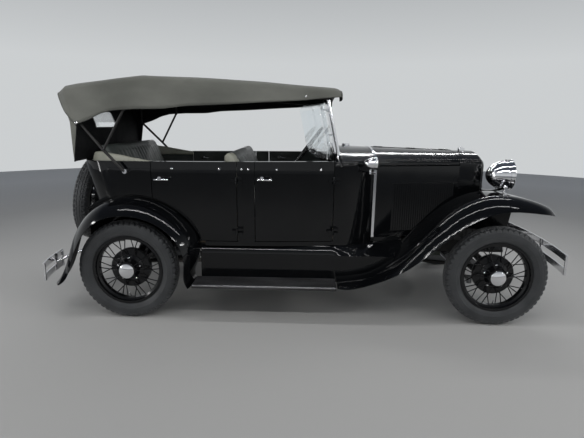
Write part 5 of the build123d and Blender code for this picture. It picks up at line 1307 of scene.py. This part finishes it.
def set_tyre(name, data, matrix, body, node):
    """One tyre of the shared mesh, in place of a CAD tyre."""
    made = new_object(name, data)
    made.matrix_world = matrix
    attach(made, body)
    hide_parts(node)


SPARE_LEAN = 7.0


def spare_matrix():
    """Where the spare stands behind the body, its outer face towards the rear and leaning forward."""
    low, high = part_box("spare_tyre")
    lean = Matrix.Rotation(math.radians(SPARE_LEAN), 4, "Y")
    quarter_turn = Matrix.Rotation(math.pi / 2, 4, "Z")
    return Matrix.Translation((low + high) / 2) @ lean @ quarter_turn


road_tyre = tyre_mesh()
for end, x in (("front", WHEELBASE), ("rear", 0.0)):
    for word, side in SIDES:
        hub = Matrix.Translation(place(x, side * TRACK / 2, TYRE_RADIUS))
        set_tyre(f"road_tyre_{end}_{word}", road_tyre, hub, f"{end}_wheel_{word}", f"tyre_{end}_{word}")
set_tyre("road_tyre_spare", road_tyre, spare_matrix(), "car", "spare_tyre")


# Wheel details
# Turned profiles: out along the axle, radius
HUB_CAP = (
    (60.5, 40.0), (60.5, 52.8), (66.0, 53.4), (68.5, 54.0), (70.0, 52.4), (72.0, 46.0),
    (76.5, 34.0), (79.5, 20.0), (80.6, 8.0), (80.9, 0.02),
)
LUG_NUT = ((-6.0, 11.0), (4.0, 12.0), (7.0, 12.5), (9.0, 9.5), (17.0, 9.0), (20.5, 6.5), (21.5, 0.02))
LUG_COUNT = 5
LUG_CIRCLE = 82.0
VALVE_DROP = 216.0
VALVE = ((0.0, 4.0), (20.0, 4.0), (22.0, 3.0), (34.0, 3.0), (36.0, 4.2), (44.0, 4.2), (46.0, 0.02))


def wheel_details(end, word, x, side):
    """Hub cap, lug nuts and valve of one wheel, all turning with it."""
    body = f"{end}_wheel_{word}"
    hub = Vector((x, side * TRACK / 2, TYRE_RADIUS))
    out = (0, side, 0)
    turned_piece(f"hub_cap_{end}_{word}", HUB_CAP, hub, out, "chrome", body, around=48)
    nuts = []
    for i in range(LUG_COUNT):
        turn = math.radians(90 + 360 / LUG_COUNT * i)
        nuts.append((hub + Vector((LUG_CIRCLE * math.cos(turn), 0, LUG_CIRCLE * math.sin(turn))), out))
    turned_group(f"lug_nuts_{end}_{word}", LUG_NUT, nuts, "chrome", body)
    valve_at = hub + Vector((0, side * 4, -VALVE_DROP))
    turned_piece(f"valve_{end}_{word}", VALVE, valve_at, (0, side * 0.6, 1), "chrome", body, around=12)


for end, x in (("front", WHEELBASE), ("rear", 0.0)):
    for word, side in SIDES:
        wheel_details(end, word, x, side)


# Camera and stage
CAMERA_AT = (1264.0, -3844.0, 1409.0)
CAMERA_TURN = 1.57
CAMERA_DOWN = 11.9
CAMERA_ROLL = 0.65


def camera():
    """The photograph's viewpoint."""
    data = bpy.data.cameras.new("photo_camera")
    data.sensor_width = 36.0
    data.lens = 28.0
    made = new_object("photo_camera", data)
    turn = Matrix.Rotation(math.radians(CAMERA_TURN), 4, "Z")
    tilt = Matrix.Rotation(math.radians(90 - CAMERA_DOWN), 4, "X")
    roll = Matrix.Rotation(math.radians(CAMERA_ROLL), 4, "Z")
    made.matrix_world = Matrix.Translation(place(*CAMERA_AT)) @ turn @ tilt @ roll
    bpy.context.scene.camera = made


FLOOR_REACH = 12.0
FLOOR_NEAR = 2.5
FLOOR_COLOUR = (0.5, 0.495, 0.48)
FLOOR_FAR_COLOUR = (0.86, 0.86, 0.85)


def studio_floor():
    """A plain pale floor, a little paler outwards, where the lamps reach it less."""
    around = 96
    corners = []
    for k in range(around):
        turn = 2 * math.pi * k / around
        corners.append((FLOOR_REACH * math.cos(turn), FLOOR_REACH * math.sin(turn), 0.0))
    data = bpy.data.meshes.new("studio_floor")
    data.from_pydata(corners, [], [tuple(range(around))])
    made = new_object("studio_floor", data)
    finish = new_material("studio_floor", FLOOR_COLOUR, 0.7)
    centre = add_node(finish, "ShaderNodeTexCoord")
    away = add_node(finish, "ShaderNodeVectorMath", operation="LENGTH")
    share = add_node(finish, "ShaderNodeMapRange")
    share.inputs["From Min"].default_value = FLOOR_NEAR
    share.inputs["From Max"].default_value = FLOOR_REACH
    link(finish, centre.outputs["Object"], away.inputs[0])
    link(finish, away.outputs["Value"], share.inputs["Value"])
    colour_between(finish, share.outputs["Result"], FLOOR_COLOUR, FLOOR_FAR_COLOUR)
    data.materials.append(finish)


# Height in the sky and colour, from the horizon up
SKY = ((0.12, (0.6, 0.62, 0.63, 1.0)), (0.62, (0.07, 0.08, 0.1, 1.0)))


def studio_world():
    """A pale surround that darkens overhead like a studio's ceiling, for every kind of ray alike."""
    world = bpy.data.worlds.new("studio")
    bpy.context.scene.world = world
    world.use_nodes = True
    direction = add_node(world, "ShaderNodeTexCoord")
    axes = add_node(world, "ShaderNodeSeparateXYZ")
    ramp = add_node(world, "ShaderNodeValToRGB")
    for stop, (height, colour) in zip(ramp.color_ramp.elements, SKY):
        stop.position = height
        stop.color = colour
    background = world.node_tree.nodes["Background"]
    link(world, direction.outputs["Generated"], axes.inputs["Vector"])
    link(world, axes.outputs["Z"], ramp.inputs["Fac"])
    link(world, ramp.outputs["Color"], background.inputs["Color"])
    background.inputs["Strength"].default_value = 1.0


STRIP_LENGTH = 6.0
STRIP_WIDTH = 0.045
LAMPS = (
    # name, place, aimed at, length, width, watts
    ("strip_near", (0.2, -3.4, 3.2), (0.2, -0.6, 0.8), STRIP_LENGTH, STRIP_WIDTH, 52.0),
    ("strip_near_top", (0.2, -1.3, 3.8), (0.2, -0.4, 0.8), STRIP_LENGTH, STRIP_WIDTH, 30.0),
    ("strip_far_top", (0.2, 1.3, 3.8), (0.2, 0.4, 0.8), STRIP_LENGTH, STRIP_WIDTH, 30.0),
    ("strip_far", (0.2, 3.4, 3.2), (0.2, 0.6, 0.8), STRIP_LENGTH, STRIP_WIDTH, 44.0),
    ("front_lamp", (5.2, -2.6, 2.8), (0.8, 0.0, 0.7), 1.6, 0.3, 40.0),
    ("rear_lamp", (-5.2, -2.0, 2.8), (-0.6, 0.0, 0.7), 1.6, 0.3, 34.0),
    ("low_side_lamp", (-4.45, -3.0, 0.95), (0.95, -0.5, 0.75), 0.35, 1.2, 16.0),
)


def lamps():
    """Long thin strips over the car and three softer lamps round it."""
    for name, start, aim, width, depth, watts in LAMPS:
        data = bpy.data.lights.new(name, "AREA")
        data.shape = "RECTANGLE"
        data.size = width
        data.size_y = depth
        data.energy = watts
        made = new_object(name, data)
        made.location = start
        made.rotation_euler = (Vector(aim) - Vector(start)).to_track_quat("-Z", "Y").to_euler()


camera()
studio_floor()
studio_world()
lamps()

bpy.context.scene.view_settings.view_transform = "Standard"
